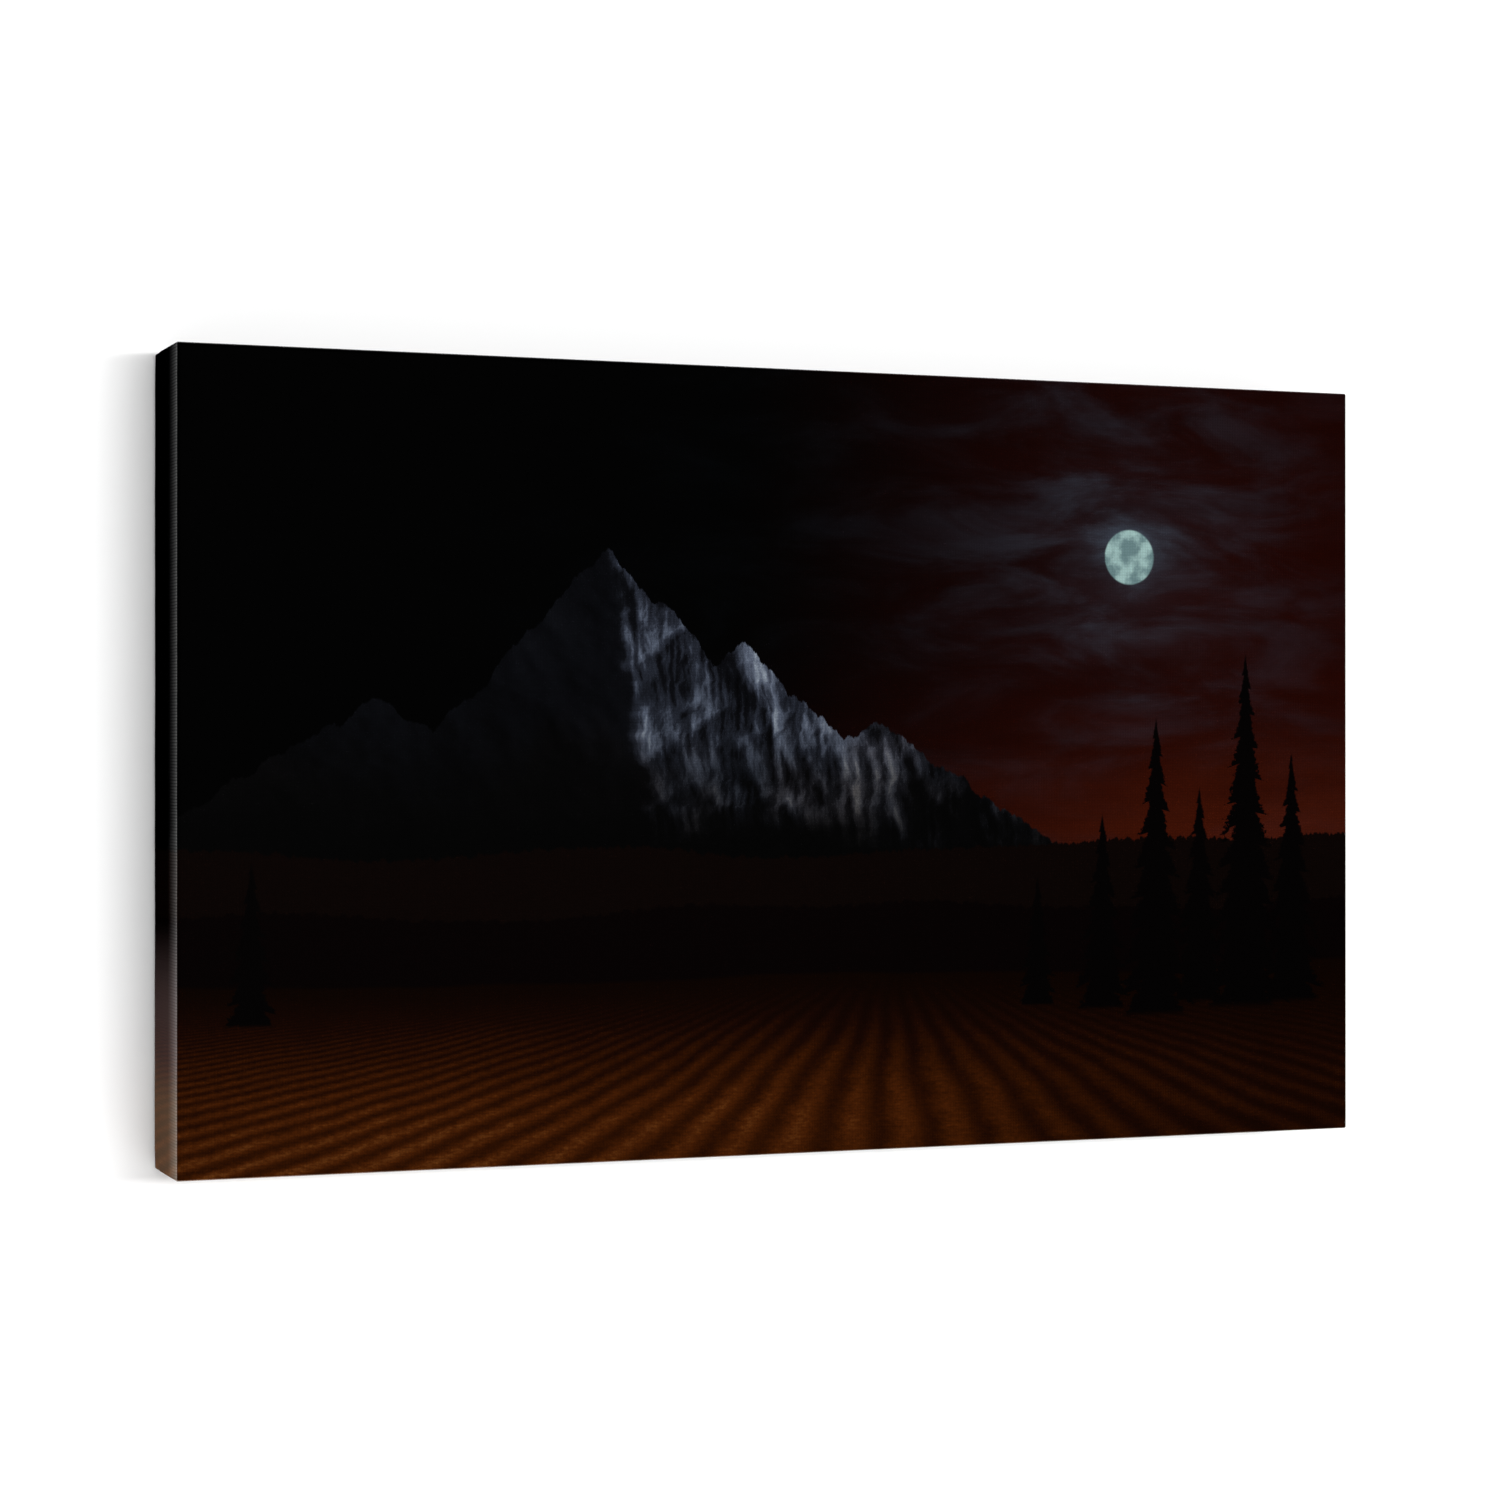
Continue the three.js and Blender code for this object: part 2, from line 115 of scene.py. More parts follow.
class Tree:
    """Builds nodes in one node tree."""

    def __init__(self, tree: bpy.types.NodeTree) -> None:
        """Keep the tree that the nodes go into."""
        self.tree = tree

    def plug(self, socket: bpy.types.NodeSocket, value: object) -> None:
        """Feed a socket.

        Args:
            socket: the input socket.
            value: a wire, or a plain value to set on it.
        """
        if isinstance(value, Wire):
            self.tree.links.new(value.socket, socket)
        else:
            socket.default_value = (*value, 1.0) if socket.type == "RGBA" else value

    def add(self, kind: str, inputs: dict | None = None, **settings: object) -> bpy.types.Node:
        """Add a node.

        Args:
            kind: the node's type name.
            inputs: what feeds its inputs, by name or place.
            **settings: the node's own settings.

        Returns:
            The new node.
        """
        node = self.tree.nodes.new(kind)
        for name, value in settings.items():
            setattr(node, name, value)
        for key, value in (inputs or {}).items():
            self.plug(node.inputs[key], value)
        return node

    def out(self, kind: str, inputs: dict | None = None, output: str | int = 0, **settings: object) -> Wire:
        """Add a node and take one of its outputs, by name or place."""
        return Wire(self, self.add(kind, inputs, **settings).outputs[output])

    def math(self, operation: str, *values: Value) -> Wire:
        """One step of arithmetic on up to three values."""
        return self.out("ShaderNodeMath", dict(enumerate(values)), operation=operation)

    def least(self, a: Value, b: Value) -> Wire:
        """The smaller of two values."""
        return self.math("MINIMUM", a, b)

    def most(self, a: Value, b: Value) -> Wire:
        """The larger of two values."""
        return self.math("MAXIMUM", a, b)

    def length(self, a: Wire, b: Wire) -> Wire:
        """The length of a slope that goes so far each way."""
        return self.math("SQRT", a**2 + b**2)

    def rise(self, value: Value, start: Value, end: Value, low: float = 0.0, high: float = 1.0) -> Wire:
        """A smooth rise from low to high while the value goes from start to end."""
        inputs = dict(enumerate((value, start, end, low, high)))
        return self.out("ShaderNodeMapRange", inputs, interpolation_type="SMOOTHSTEP")

    def bell(self, value: Value, middle: float, width: Value) -> Wire:
        """A bell curve round a middle value, one at its top."""
        return self.math("EXPONENT", ((value - middle) / width) ** 2 * -1.0)

    def join(self, x: Value, y: Value, z: Value = 0.0) -> Wire:
        """A vector from its three parts."""
        return self.out("ShaderNodeCombineXYZ", {0: x, 1: y, 2: z})

    def split(self, vector: Wire) -> list[Wire]:
        """The three parts of a vector."""
        return [Wire(self, part) for part in self.add("ShaderNodeSeparateXYZ", {0: vector}).outputs]

    def noise(
        self, place: Wire, scale: float, detail: float = 3.0, rough: float = 0.55, bend: float = 0.0
    ) -> Wire:
        """Soft cloudy noise from 0 to 1: its scale, its finer layers and their strength, and its pull."""
        inputs = {"Vector": place, "Scale": scale, "Detail": detail, "Roughness": rough, "Distortion": bend}
        return self.out("ShaderNodeTexNoise", inputs)

    def crests(self, place: Wire, scale: float) -> Wire:
        """Noise with sharp crests, as on weathered rock, from 0 to about 2."""
        inputs = {"Vector": place, "Scale": scale, **CRAGS}
        return self.out("ShaderNodeTexNoise", inputs, noise_type="RIDGED_MULTIFRACTAL", normalize=False)

    def mix(self, share: Value, a: object, b: object, way: str = "MIX") -> Wire:
        """Blend two colours: a share of 0 gives the first and 1 the second."""
        return self.out("ShaderNodeMix", {0: share, 6: a, 7: b}, 2, data_type="RGBA", blend_type=way)

    def gamma(self, colour: Wire, power: float) -> Wire:
        """A colour with each of its parts raised to a power."""
        return self.out("ShaderNodeGamma", {0: colour, 1: power})

    def ramp(self, value: Value, stops: list[tuple[float, Ink]]) -> Wire:
        """A run of colours along a value.

        Args:
            value: the value from 0 to 1.
            stops: places and colours in rising order.

        Returns:
            The colour.
        """
        node = self.add("ShaderNodeValToRGB", {0: value})
        elements = node.color_ramp.elements
        while len(elements) < len(stops):
            elements.new(1.0)
        for element, (place, colour) in zip(elements, stops):
            element.position = place
            element.color = (*colour, 1.0)
        return Wire(self, node.outputs[0])


class NamedTree(Tree):
    """A node tree of its own, with named inputs and outputs."""

    KINDS = {tuple: "Vector", float: "Float", int: "Int", type(None): "Geometry"}

    def __init__(self, name: str, kind: str, inputs: dict, outputs: dict) -> None:
        """Make the tree and its sockets.

        Args:
            name: the tree's name.
            kind: the type of tree.
            inputs: each input's usual value, by name, or None for geometry.
            outputs: the same for the outputs.
        """
        super().__init__(bpy.data.node_groups.new(name, kind))
        self.usual = {}
        for way, sockets in (("INPUT", inputs), ("OUTPUT", outputs)):
            for title, value in sockets.items():
                kind = "NodeSocket" + self.KINDS[type(value)]
                socket = self.tree.interface.new_socket(name=title, in_out=way, socket_type=kind)
                if way == "INPUT" and value is not None:
                    socket.default_value = value
                    self.usual[socket.identifier] = value
        self.start = self.tree.nodes.new("NodeGroupInput")
        self.end = self.tree.nodes.new("NodeGroupOutput")

    def given(self, names: str) -> list[Wire]:
        """The wires of some inputs, whose names are given with blanks between."""
        return [Wire(self, self.start.outputs[name]) for name in names.split()]

    def give(self, **results: Wire) -> None:
        """Send results to the outputs."""
        for name, wire in results.items():
            self.plug(self.end.inputs[name], wire)


class Group(NamedTree):
    """A group of shader nodes, built once and placed in several trees."""

    def __init__(self, name: str, outputs: str, **inputs: float | tuple) -> None:
        """Make the group, whose first input is the place that it is read at.

        Args:
            name: the group's name.
            outputs: the names of its outputs, with blanks between.
            **inputs: the usual values of its other inputs.
        """
        results = dict.fromkeys(outputs.split(), 0.0)
        super().__init__(name, "ShaderNodeTree", {"Place": ORIGIN, **inputs}, results)

    def read(self, tree: Tree, outputs: str, **inputs: object) -> list[Wire]:
        """Put the group into a tree, feed it, and take some of its outputs."""
        node = tree.add("ShaderNodeGroup", inputs, node_tree=self.tree)
        return [Wire(tree, node.outputs[name]) for name in outputs.split()]


def ink(red: int, green: int, blue: int, light: float = 1.0) -> Ink:
    """The linear colour that shows a screen shade, from 0 to 255, under a light of some strength."""
    parts = [value / 255 for value in (red, green, blue)]
    return tuple((v / 12.92 if v <= 0.04045 else ((v + 0.055) / 1.055) ** 2.4) / light for v in parts)


# ---------------------------------------------------------------- effects that several finishes share


class PlainWeave(Group):
    """Plain weave: each thread goes over one crossing and under the next."""

    def __init__(self) -> None:
        """Build the cloth's height, how much of a thread shows, and its slubs."""
        super().__init__("PlainWeave", "Height Thread Slubs", Pitch=1.05 * MM, Slub=0.25)
        place, pitch, slub = self.given("Place Pitch Slub")
        across, along, _ = self.split(place)
        sway = self.noise(place, 90.0, 2.0) - 0.5
        u, v = (self.math("SINE", (way / pitch + sway * 0.5) * math.pi) for way in (across, along))
        warp, weft = abs(u), abs(v)
        side = self.rise(u * v, -0.12, 0.12)
        warp_up, weft_up = (a**0.6 * (b * 0.45 + 0.55) for a, b in ((warp, weft), (weft, warp)))
        height = warp_up * side + weft_up * (1.0 - side)
        fine, long = 900.0, 40.0
        thick_u = self.noise(self.join(across * fine, along * long), 1.0, 2.0)
        thick_v = self.noise(self.join(across * long, along * fine), 1.0, 2.0)
        slubs = thick_u * side + thick_v * (1.0 - side)
        self.give(Height=height + (slubs - 0.5) * slub, Thread=height, Slubs=slubs)


class WoodGrain(Group):
    """Softwood whose grain runs along X, from a log whose heart lies beside the piece."""

    def __init__(self) -> None:
        """Build the growth rings, the fibres, one knot and the height."""
        heart, knot = (0.0, 0.03, 0.05), (0.11, 0.0, 0.0)
        sizes = {"Ring": 2.6 * MM, "KnotSize": 4.5 * MM}
        super().__init__("WoodGrain", "Rings Fibres Knot Height", Heart=heart, Knot=knot, **sizes)
        place, heart, knot, ring, knot_size = self.given("Place Heart Knot Ring KnotSize")
        x, y, z = self.split(place)
        _, heart_y, heart_z = self.split(heart)
        knot_x, _, knot_z = self.split(knot)
        to_knot = self.length((x - knot_x) * 0.8, z - knot_z)
        swirl = self.bell(to_knot, 0.0, knot_size * 2.2)
        lean = self.noise(self.join(x * 3.0, y * 9.0, z * 9.0), 1.0, 2.0) * 0.016
        ripple = self.noise(self.join(x * 14.0, y * 60.0, z * 60.0), 1.0, 3.0) * 0.0022
        from_heart = self.length(y - heart_y + x * 0.035, z - heart_z + x * 0.02)
        share = self.math("FRACT", (from_heart + lean + ripple + swirl * 0.006) / ring)
        late = share**2.4 * self.rise(share, 0.9, 1.0, 1.0, 0.0)
        fibres = self.noise(self.join(x * 26.0, y * 1300.0, z * 1300.0), 1.0, 3.0, 0.6)
        knot = self.rise(to_knot + ripple - 0.001, knot_size * 0.75, knot_size, 1.0, 0.0)
        rays = self.math("FRACT", to_knot / (0.7 * MM))
        rings = self.most(late, knot * (rays * 0.3 + 0.55))
        self.give(Rings=rings, Fibres=fibres, Knot=knot, Height=fibres * 0.7 + late * 0.5)


class Scuffs(Group):
    """Handling marks: hair-fine scratches in two directions and cloudy patches."""

    def __init__(self) -> None:
        """Build the scratches and the patches."""
        super().__init__("Scuffs", "Scratches Patches", Scale=1.0, Amount=0.5)
        place, size, amount = self.given("Place Scale Amount")
        x, y, z = self.split(place)
        one = self.join((x + z) * size * 90.0, y * size * 90.0, (z - x) * size * 2600.0)
        two = self.join((x - z) * size * 110.0, y * size * 90.0, (z + x * 0.4) * size * 2200.0)
        first = self.rise(self.noise(one, 1.0, 2.0), 0.64, 0.7)
        lines = self.most(first, self.rise(self.noise(two, 1.0, 2.0), 0.66, 0.71))
        self.give(Scratches=lines * amount, Patches=self.noise(place, 420.0, 4.0, 0.6))


class Dust(Group):
    """Fine dust that settles where a surface looks up."""

    def __init__(self) -> None:
        """Build the mask of where dust lies."""
        super().__init__("Dust", "Mask", Amount=0.4)
        place, amount = self.given("Place Amount")
        _, _, up = self.split(self.out("ShaderNodeNewGeometry", output="Normal"))
        settled = self.rise(up, -0.2, 0.95, 0.25, 1.0)
        specks = self.rise(self.noise(place, 2400.0, 2.0), 0.52, 0.75)
        veil = self.noise(place, 160.0, 4.0)
        self.give(Mask=settled * (specks * 0.6 + veil * 0.5) * amount)


class FirOutline(Group):
    """The dark outline of a fir: tiers of boughs that narrow to a tip."""

    def __init__(self) -> None:
        """Build the mask of where the tree stands."""
        super().__init__("FirOutline", "Mask", Foot=ORIGIN, Height=0.3, Spread=0.06, Tiers=9.0)
        place, foot, height, spread, tiers = self.given("Place Foot Height Spread Tiers")
        x, y, _ = self.split(place)
        foot_x, foot_y, _ = self.split(foot)
        up = (y - foot_y) / height
        aside = x - foot_x
        off, side = abs(aside), self.math("SIGN", aside)
        uneven = self.noise(self.join(y * 30.0, foot_x * 9.0, side), 1.0, 2.0) * 1.4
        tier = self.math("FRACT", (up + off / spread * 0.06) * tiers + uneven + side * 0.21)
        ragged = self.noise(self.join(x * 150.0, y * 190.0), 1.0, 3.0, 0.75)
        width = (1.02 - up) ** 0.9 * (1.0 - tier * 0.5) * (ragged * 1.3 + 0.3) * spread
        boughs = self.rise(width - off, -0.0012, 0.0012)
        self.give(Mask=boughs * self.rise(up, 0.02, 0.05) * self.rise(up, 1.0, 1.03, 1.0, 0.0))


@dataclass(frozen=True)
class Effects:
    """The groups that more than one finish uses, each built once."""

    weave: Group = field(default_factory=PlainWeave)
    grain: Group = field(default_factory=WoodGrain)
    scuffs: Group = field(default_factory=Scuffs)
    dust: Group = field(default_factory=Dust)
    fir: Group = field(default_factory=FirOutline)


# ---------------------------------------------------------------- finishes


class Look(Tree):
    """The nodes of one material, with its shader and the shared effects at hand."""

    def __init__(self, name: str, specular: float = 0.5, effects: Effects | None = None) -> None:
        """Make the material.

        Args:
            name: the material's name.
            specular: the sheen that its surface keeps all over.
            effects: the shared groups.
        """
        self.material = bpy.data.materials.new(name)
        self.material.use_nodes = True
        super().__init__(self.material.node_tree)
        self.effects = effects
        self.shader = self.tree.nodes["Principled BSDF"]
        self.paint(Specular_IOR_Level=specular)

    def paint(self, **values: object) -> None:
        """Feed the shader's sockets, a blank in a name written as an underscore."""
        for name, value in values.items():
            self.plug(self.shader.inputs[name.replace("_", " ")], value)

    def emboss(self, height: Wire, depth: float) -> None:
        """Raise the surface by a height, where a height of 1 stands for some metres."""
        self.paint(Normal=self.out("ShaderNodeBump", {"Height": height, "Distance": depth}))

    def place(self) -> Wire:
        """The point of the surface, in metres."""
        return self.out("ShaderNodeTexCoord", output="Object")

    def cloth(self) -> Wire:
        """The point of the cloth as it lies flat, in metres."""
        return self.out("ShaderNodeUVMap", uv_map=FLAT_MAP)

    def dust(self, place: Wire, amount: float) -> Wire:
        """Where dust lies."""
        return self.effects.dust.read(self, "Mask", Place=place, Amount=amount)[0]


@dataclass(frozen=True)
class Finish:
    """What every finish has: its name and the sheen that its surface keeps all over."""

    name: str
    specular: float = 0.5

    def material(self, effects: Effects) -> bpy.types.Material:
        """Build the material.

        Args:
            effects: the shared groups.

        Returns:
            The finished material.
        """
        look = Look(self.name, self.specular, effects)
        self.dress(look)
        return look.material

    def dress(self, look: Look) -> None:
        """Feed the shader, which every finish does in its own way."""
        raise NotImplementedError


@dataclass
class NightLandscape:
    """The printed picture: a moonlit peak over dark woods and ploughed land.

    Sizes are shares of the picture's height, from its middle. Inks are judged under the studio's light.

    Attributes:
        look: the material that it is painted in.
        u: place across the picture.
        v: place up the picture.
        face_light: how strong the light on the picture is.
        peaks: middle, height and slope of each peak.
        hills: height, swing, seed and ink of each hill.
        firs: foot, height, spread and tiers of each fir.
        stone: the rock's inks, from shade to moonlight.
        soil: the field's inks, from dark to lit.
    """

    look: Look
    u: Wire
    v: Wire
    face_light: float = 1.36
    moon: tuple[float, float] = (0.47, 0.27)
    moon_radius: float = 0.036
    skyline: float = -0.27
    peaks: tuple = ((-0.26, 0.27, 1.05), (-0.56, 0.08, 0.62), (0.10, 0.05, 0.60), (-0.08, 0.15, 0.9))
    hills: tuple = ((-0.125, 0.10, 2.0, (8, 3, 2)), (-0.205, 0.08, 6.0, (4, 1, 1)))
    firs: tuple = (
        (0.43, -0.335, 0.26, 0.045, 8.0),
        (0.51, -0.350, 0.40, 0.062, 10.0),
        (0.575, -0.330, 0.29, 0.048, 8.0),
        (0.645, -0.345, 0.48, 0.070, 12.0),
        (0.715, -0.335, 0.34, 0.055, 9.0),
        (0.335, -0.325, 0.17, 0.032, 7.0),
        (-0.71, -0.325, 0.20, 0.036, 7.0),
    )
    stone: tuple = (
        (0.0, (2, 2, 3)),
        (0.28, (11, 12, 16)),
        (0.50, (38, 42, 52)),
        (0.74, (86, 94, 110)),
        (1.0, (150, 160, 172)),
    )
    soil: tuple = (
        (0.0, (9, 2, 0)),
        (0.10, (21, 5, 1)),
        (0.30, (42, 15, 1)),
        (0.60, (64, 27, 4)),
        (1.0, (98, 54, 20)),
    )
    colour: Wire = field(init=False)

    def shade(self, red: int, green: int, blue: int) -> Ink:
        """A printing ink that shows this screen shade under the studio's light."""
        return ink(red, green, blue, self.face_light)

    def inks(self, value: Wire, stops: tuple) -> Wire:
        """A run of printing inks along a value."""
        return self.look.ramp(value, [(place, self.shade(*shade)) for place, shade in stops])

    def cover(self, share: Wire, colour: object) -> None:
        """Lay a colour over what is painted so far."""
        self.colour = self.look.mix(share, self.colour, colour)

    def fill_below(self, edge: Wire, colour: object, soft: float = 0.001) -> None:
        """Lay a colour below an outline."""
        self.cover(self.look.rise(edge - self.v, -soft, soft), colour)

    def paint_sky(self) -> None:
        """Paint the night sky, black on the left, with a dim red glow over the woods on the right."""
        look, u, v = self.look, self.u, self.v
        streaks = look.noise(look.join(u * 1.4, v * 8.0), 1.8, 6.0, 0.6)
        dusk = look.rise(u, -0.12, 0.62) * (streaks * 0.8 + 0.55) * look.rise(v, 0.9, -0.1, 0.55, 1.0)
        self.colour = look.mix(look.least(dusk, 1.0), BLACK, self.shade(31, 4, 1))
        glow = look.bell(v, -0.17, 0.15) * look.rise(u, -0.30, 0.85) * (streaks * 1.5 + 0.1)
        self.cover(look.least(glow, 1.0), self.shade(68, 21, 6))

    def paint_moon(self) -> None:
        """Paint a pale moon with its halo, in thin cloud."""
        look, u, v = self.look, self.u, self.v
        away = look.length(u - self.moon[0], v - self.moon[1])
        veil = look.rise(look.noise(look.join(u * 2.0, v * 6.0, 1.0), 2.4, 7.0, 0.62, 0.5), 0.34, 0.72)
        near, far = (look.math("EXPONENT", away / -reach) for reach in (0.045, 0.16))
        halo = near * 0.75 + far * 0.25 * veil
        self.cover(look.least(halo * (veil * 0.9 + 0.25), 1.0), self.shade(78, 92, 108))
        seas = look.rise(look.noise(look.join(u, v, 7.0), 34.0, 4.0), 0.42, 0.62)
        face = look.mix(seas, self.shade(98, 124, 126), self.shade(150, 180, 177))
        soft = 0.0014
        self.cover(look.rise(away, self.moon_radius - soft, self.moon_radius + soft, 1.0, 0.0), face)

    def paint_mountain(self) -> None:
        """Paint a rocky peak with snow on its moonlit slopes and mist at its foot."""
        look, u, v = self.look, self.u, self.v
        outline: Value = -1.0
        for middle, top, slope in self.peaks:
            outline = look.most(outline, top - abs(u - middle) * slope)
        crags = look.noise(look.join(u, 0.3), 9.0, 8.0, 0.66)
        sway = look.noise(look.join(v, 0.9), 5.0, 6.0, 0.6) - 0.5
        arete = u - self.peaks[0][0] + sway * 0.15 + (v - self.peaks[0][1]) * 0.16
        facing = look.rise(arete, -0.02, 0.02, 0.30, 1.0)
        x, y = u + abs(arete) * 0.35, v * 0.50 - abs(arete) * 0.30
        rock = look.crests(look.join(x, y, 5.0), 4.2)
        moonward = look.crests(look.join(x + 0.007, y + 0.006, 5.0), 4.2)
        stone = self.inks(((rock - moonward) * 1.1 + 0.36 + (rock - 0.9) * 0.22) * facing, self.stone)
        rust = look.noise(look.join(u, v, 11.0), 5.0, 5.0) + look.rise(v, -0.12, 0.16, 0.22, -0.30)
        rusty = look.mix(1.0, stone, (1.35, 0.98, 0.72), "MULTIPLY")
        warm = look.mix(look.rise(rust, 0.42, 0.72) * 0.7, stone, rusty)
        fog = look.noise(look.join(u * 2.0, v * 7.0, 9.0), 2.0, 5.0) * 0.16
        sunk = look.mix(look.rise(v - fog, -0.20, 0.06), self.shade(2, 2, 2), warm)
        self.fill_below(outline + (crags - 0.5) * 0.11, sunk, 0.0012)

    def paint_hills(self) -> None:
        """Paint two wooded hills, almost black."""
        look, u = self.look, self.u
        for base, swing, seed, colour in self.hills:
            roll = look.noise(look.join(u, seed), 2.1, 1.0) - 0.5
            tops = look.noise(look.join(u, seed + 4.0), 70.0, 3.0, 0.8) * 0.03
            self.fill_below(roll * swing + tops + base, self.shade(*colour))

    def paint_field(self) -> None:
        """Paint ploughed land whose furrows run to one point on the skyline, lit near the picture's foot."""
        look, u, v = self.look, self.u, self.v
        roll = (look.noise(look.join(u, 0.7), 2.4, 2.0) - 0.5) * 0.035
        down = look.most(roll + self.skyline - v, 0.0)
        clods = look.noise(look.join(u, v * 2.2, 4.0), 26.0, 8.0, 0.72)
        lumps = look.noise(look.join(u, v * 2.4, 6.0), 110.0, 4.0, 0.7)
        wander = look.noise(look.join(u * 1.2, v * 3.0, 4.0), 2.0, 2.0) * 0.07
        turn = (u - 0.16 + wander) / (down + 0.045)
        furrow = look.math("SINE", turn * 21.0 + (clods - 0.5) * 2.6) * 0.5 + 0.5
        broad = look.noise(look.join(u * 1.5, v * 5.0, 8.0), 1.6, 3.0)
        pool = look.rise(u, 0.78, -0.25, 0.25, 1.0) * look.rise(down, 0.0, 0.2) * (broad * 1.2 + 0.4)
        light = pool * (furrow * 0.46 + 0.30) * (clods * 0.9 + 0.45) * (lumps * 1.5 + 0.25)
        self.cover(look.rise(down, 0.0, 0.006), self.inks(light, self.soil))

    def paint_firs(self) -> None:
        """Paint the firs that stand before the field."""
        look, point = self.look, self.look.join(self.u, self.v)
        woods: Value = 0.0
        for x, y, height, spread, tiers in self.firs:
            sizes = {"Foot": (x, y, 0.0), "Height": height, "Spread": spread, "Tiers": tiers}
            woods = look.most(woods, *look.effects.fir.read(look, "Mask", Place=point, **sizes))
        self.cover(woods, self.shade(2, 1, 1))

    def paint(self) -> Wire:
        """Paint the whole picture, from back to front.

        Returns:
            The printed colour.
        """
        self.paint_sky()
        self.paint_moon()
        self.paint_mountain()
        self.paint_hills()
        self.paint_field()
        self.paint_firs()
        return self.colour


@dataclass(frozen=True)
class PrintedCanvas(Finish):
    """Primed canvas with ink on it: the outside of the cloth.

    Attributes:
        flat: half of the width and height of the flat face.
        print_ends: how far beyond the flat face the ink goes.
        picture_height: the height that the picture is printed at.
        fold_starts: how far beyond the flat face the painted highlight along the fold begins.
        fold_crest: where that painted highlight is brightest.
        fold_reach: how far on from there it fades out.
        fold_highlight: how much the painted highlight pales the ink.
        varnish: how much varnish the face has.
    """

    name: str = "printed_canvas"
    specular: float = 0.0
    flat: tuple[float, float] = (0.224, 0.1395)
    print_ends: float = 45.0 * MM
    picture_height: float = 0.281
    fold_starts: float = 0.50 * MM
    fold_crest: float = 0.95 * MM
    fold_reach: float = 13.6 * MM
    fold_highlight: float = 0.362
    varnish: float = 0.006

    def dress(self, look: Look) -> None:
        """Lay the picture, a painted highlight along the folds and the bare margin over the weave.

        Args:
            look: the new material.
        """
        flat = look.cloth()
        s, t, _ = look.split(flat)
        beyond = look.most(abs(s) - self.flat[0], abs(t) - self.flat[1])
        thread, slubs, height = look.effects.weave.read(look, "Thread Slubs Height", Place=flat)
        picture = NightLandscape(look, s / self.picture_height, t / self.picture_height).paint()
        # painted shade in the weave: the ink is darker in the hollows between threads and lighter on their
        # crowns, half of it the slubs' own tone
        weave_shade_and_tone = look.mix(thread * 0.5 + slubs * 0.5, (0.80,) * 3, (1.18,) * 3)
        # veil adds a painted reflection low on the left side of the wrap
        with_painted_reflection = self.veil(look, look.mix(1.0, picture, weave_shade_and_tone, "MULTIPLY"), beyond, s, t)
        # painted highlight: the ink is paled along every fold, brightest just past its crest and on the
        # thread crowns, fading out over fold_reach; worn here means this painted highlight
        crest = look.rise(beyond, self.fold_starts, self.fold_crest)
        fall = look.most(1.0 - (beyond - self.fold_crest) / self.fold_reach, 0.0)
        worn = crest * look.rise(thread, 0.15, 0.85, 0.45, 1.0)
        tone = look.gamma(with_painted_reflection, 1 / SCREEN_GAMMA)
        highlighted = look.mix(worn * fall, tone, (self.fold_highlight,) * 3, "SCREEN")
        primed = look.mix(slubs, ink(190, 186, 177), ink(212, 209, 202))
        edge, soft = beyond + (slubs - 0.5) * 0.6 * MM, 0.2 * MM
        bare = look.rise(edge, self.print_ends - soft, self.print_ends + soft)
        look.paint(
            Base_Color=look.mix(bare, look.gamma(highlighted, SCREEN_GAMMA), primed),
            Roughness=look.rise(thread, 0.0, 1.0, 0.92, 0.74),
            Coat_Roughness=0.45,
            Coat_Weight=look.rise(beyond, -1.0 * MM, 1.0 * MM, self.varnish, 0.0),
        )
        look.emboss(height, 0.16 * MM)

    def veil(self, look: Look, printed: Wire, beyond: Wire, s: Wire, t: Wire) -> Wire:
        """A painted reflection on the print's left side, low down: the ink is brightened there and a
        grey-brown is added.

        Args:
            look: the new material.
            printed: the picture.
            beyond: distance beyond the flat face.
            s: flat place across.
            t: flat place up.

        Returns:
            The picture with its painted reflection.
        """
        # painted reflection: only past the fold on the left side's lower part; mist is the grey-brown of that
        # painted reflection
        share = look.rise(beyond, self.fold_starts, self.fold_crest + 0.4 * MM)
        share = share * look.rise(s, -0.20, -0.06, 1.0, 0.0) * look.rise(t, -0.087, -0.053, 1.0, 0.0)
        lifted_by_reflection = look.mix(share, printed, look.mix(1.0, printed, (1.6, 1.8, 1.8), "MULTIPLY"))
        mist = look.mix(look.rise(t, -0.120, -0.098, 1.0, 0.0), ink(65, 52, 51), ink(93, 75, 60))
        return look.mix(share, lifted_by_reflection, mist, "ADD")


@dataclass(frozen=True)
class RawCanvas(Finish):
    """Unprimed canvas: the inside of the cloth."""

    name: str = "raw_canvas"
    specular: float = 0.15
    pale: Ink = ink(224, 214, 194)
    shadow: Ink = ink(166, 149, 121)

    def dress(self, look: Look) -> None:
        """Show the bare weave with its slubs and seed husks.

        Args:
            look: the new material.
        """
        flat = look.cloth()
        thread, slubs, height = look.effects.weave.read(look, "Thread Slubs Height", Place=flat, Slub=0.5)
        body = look.mix(look.rise(thread, 0.1, 0.8) * 0.65 + slubs * 0.35, self.shadow, self.pale)
        cloudy = look.mix(look.noise(flat, 14.0, 3.0) * 0.25, body, ink(205, 190, 158))
        seeds = look.rise(look.noise(flat, 620.0, 1.0), 0.76, 0.80)
        look.paint(
            Base_Color=look.mix(seeds * 0.8, cloudy, ink(92, 70, 44)),
            Roughness=look.rise(slubs, 0.2, 0.8, 0.95, 0.85),
        )
        look.emboss(height, 0.22 * MM)


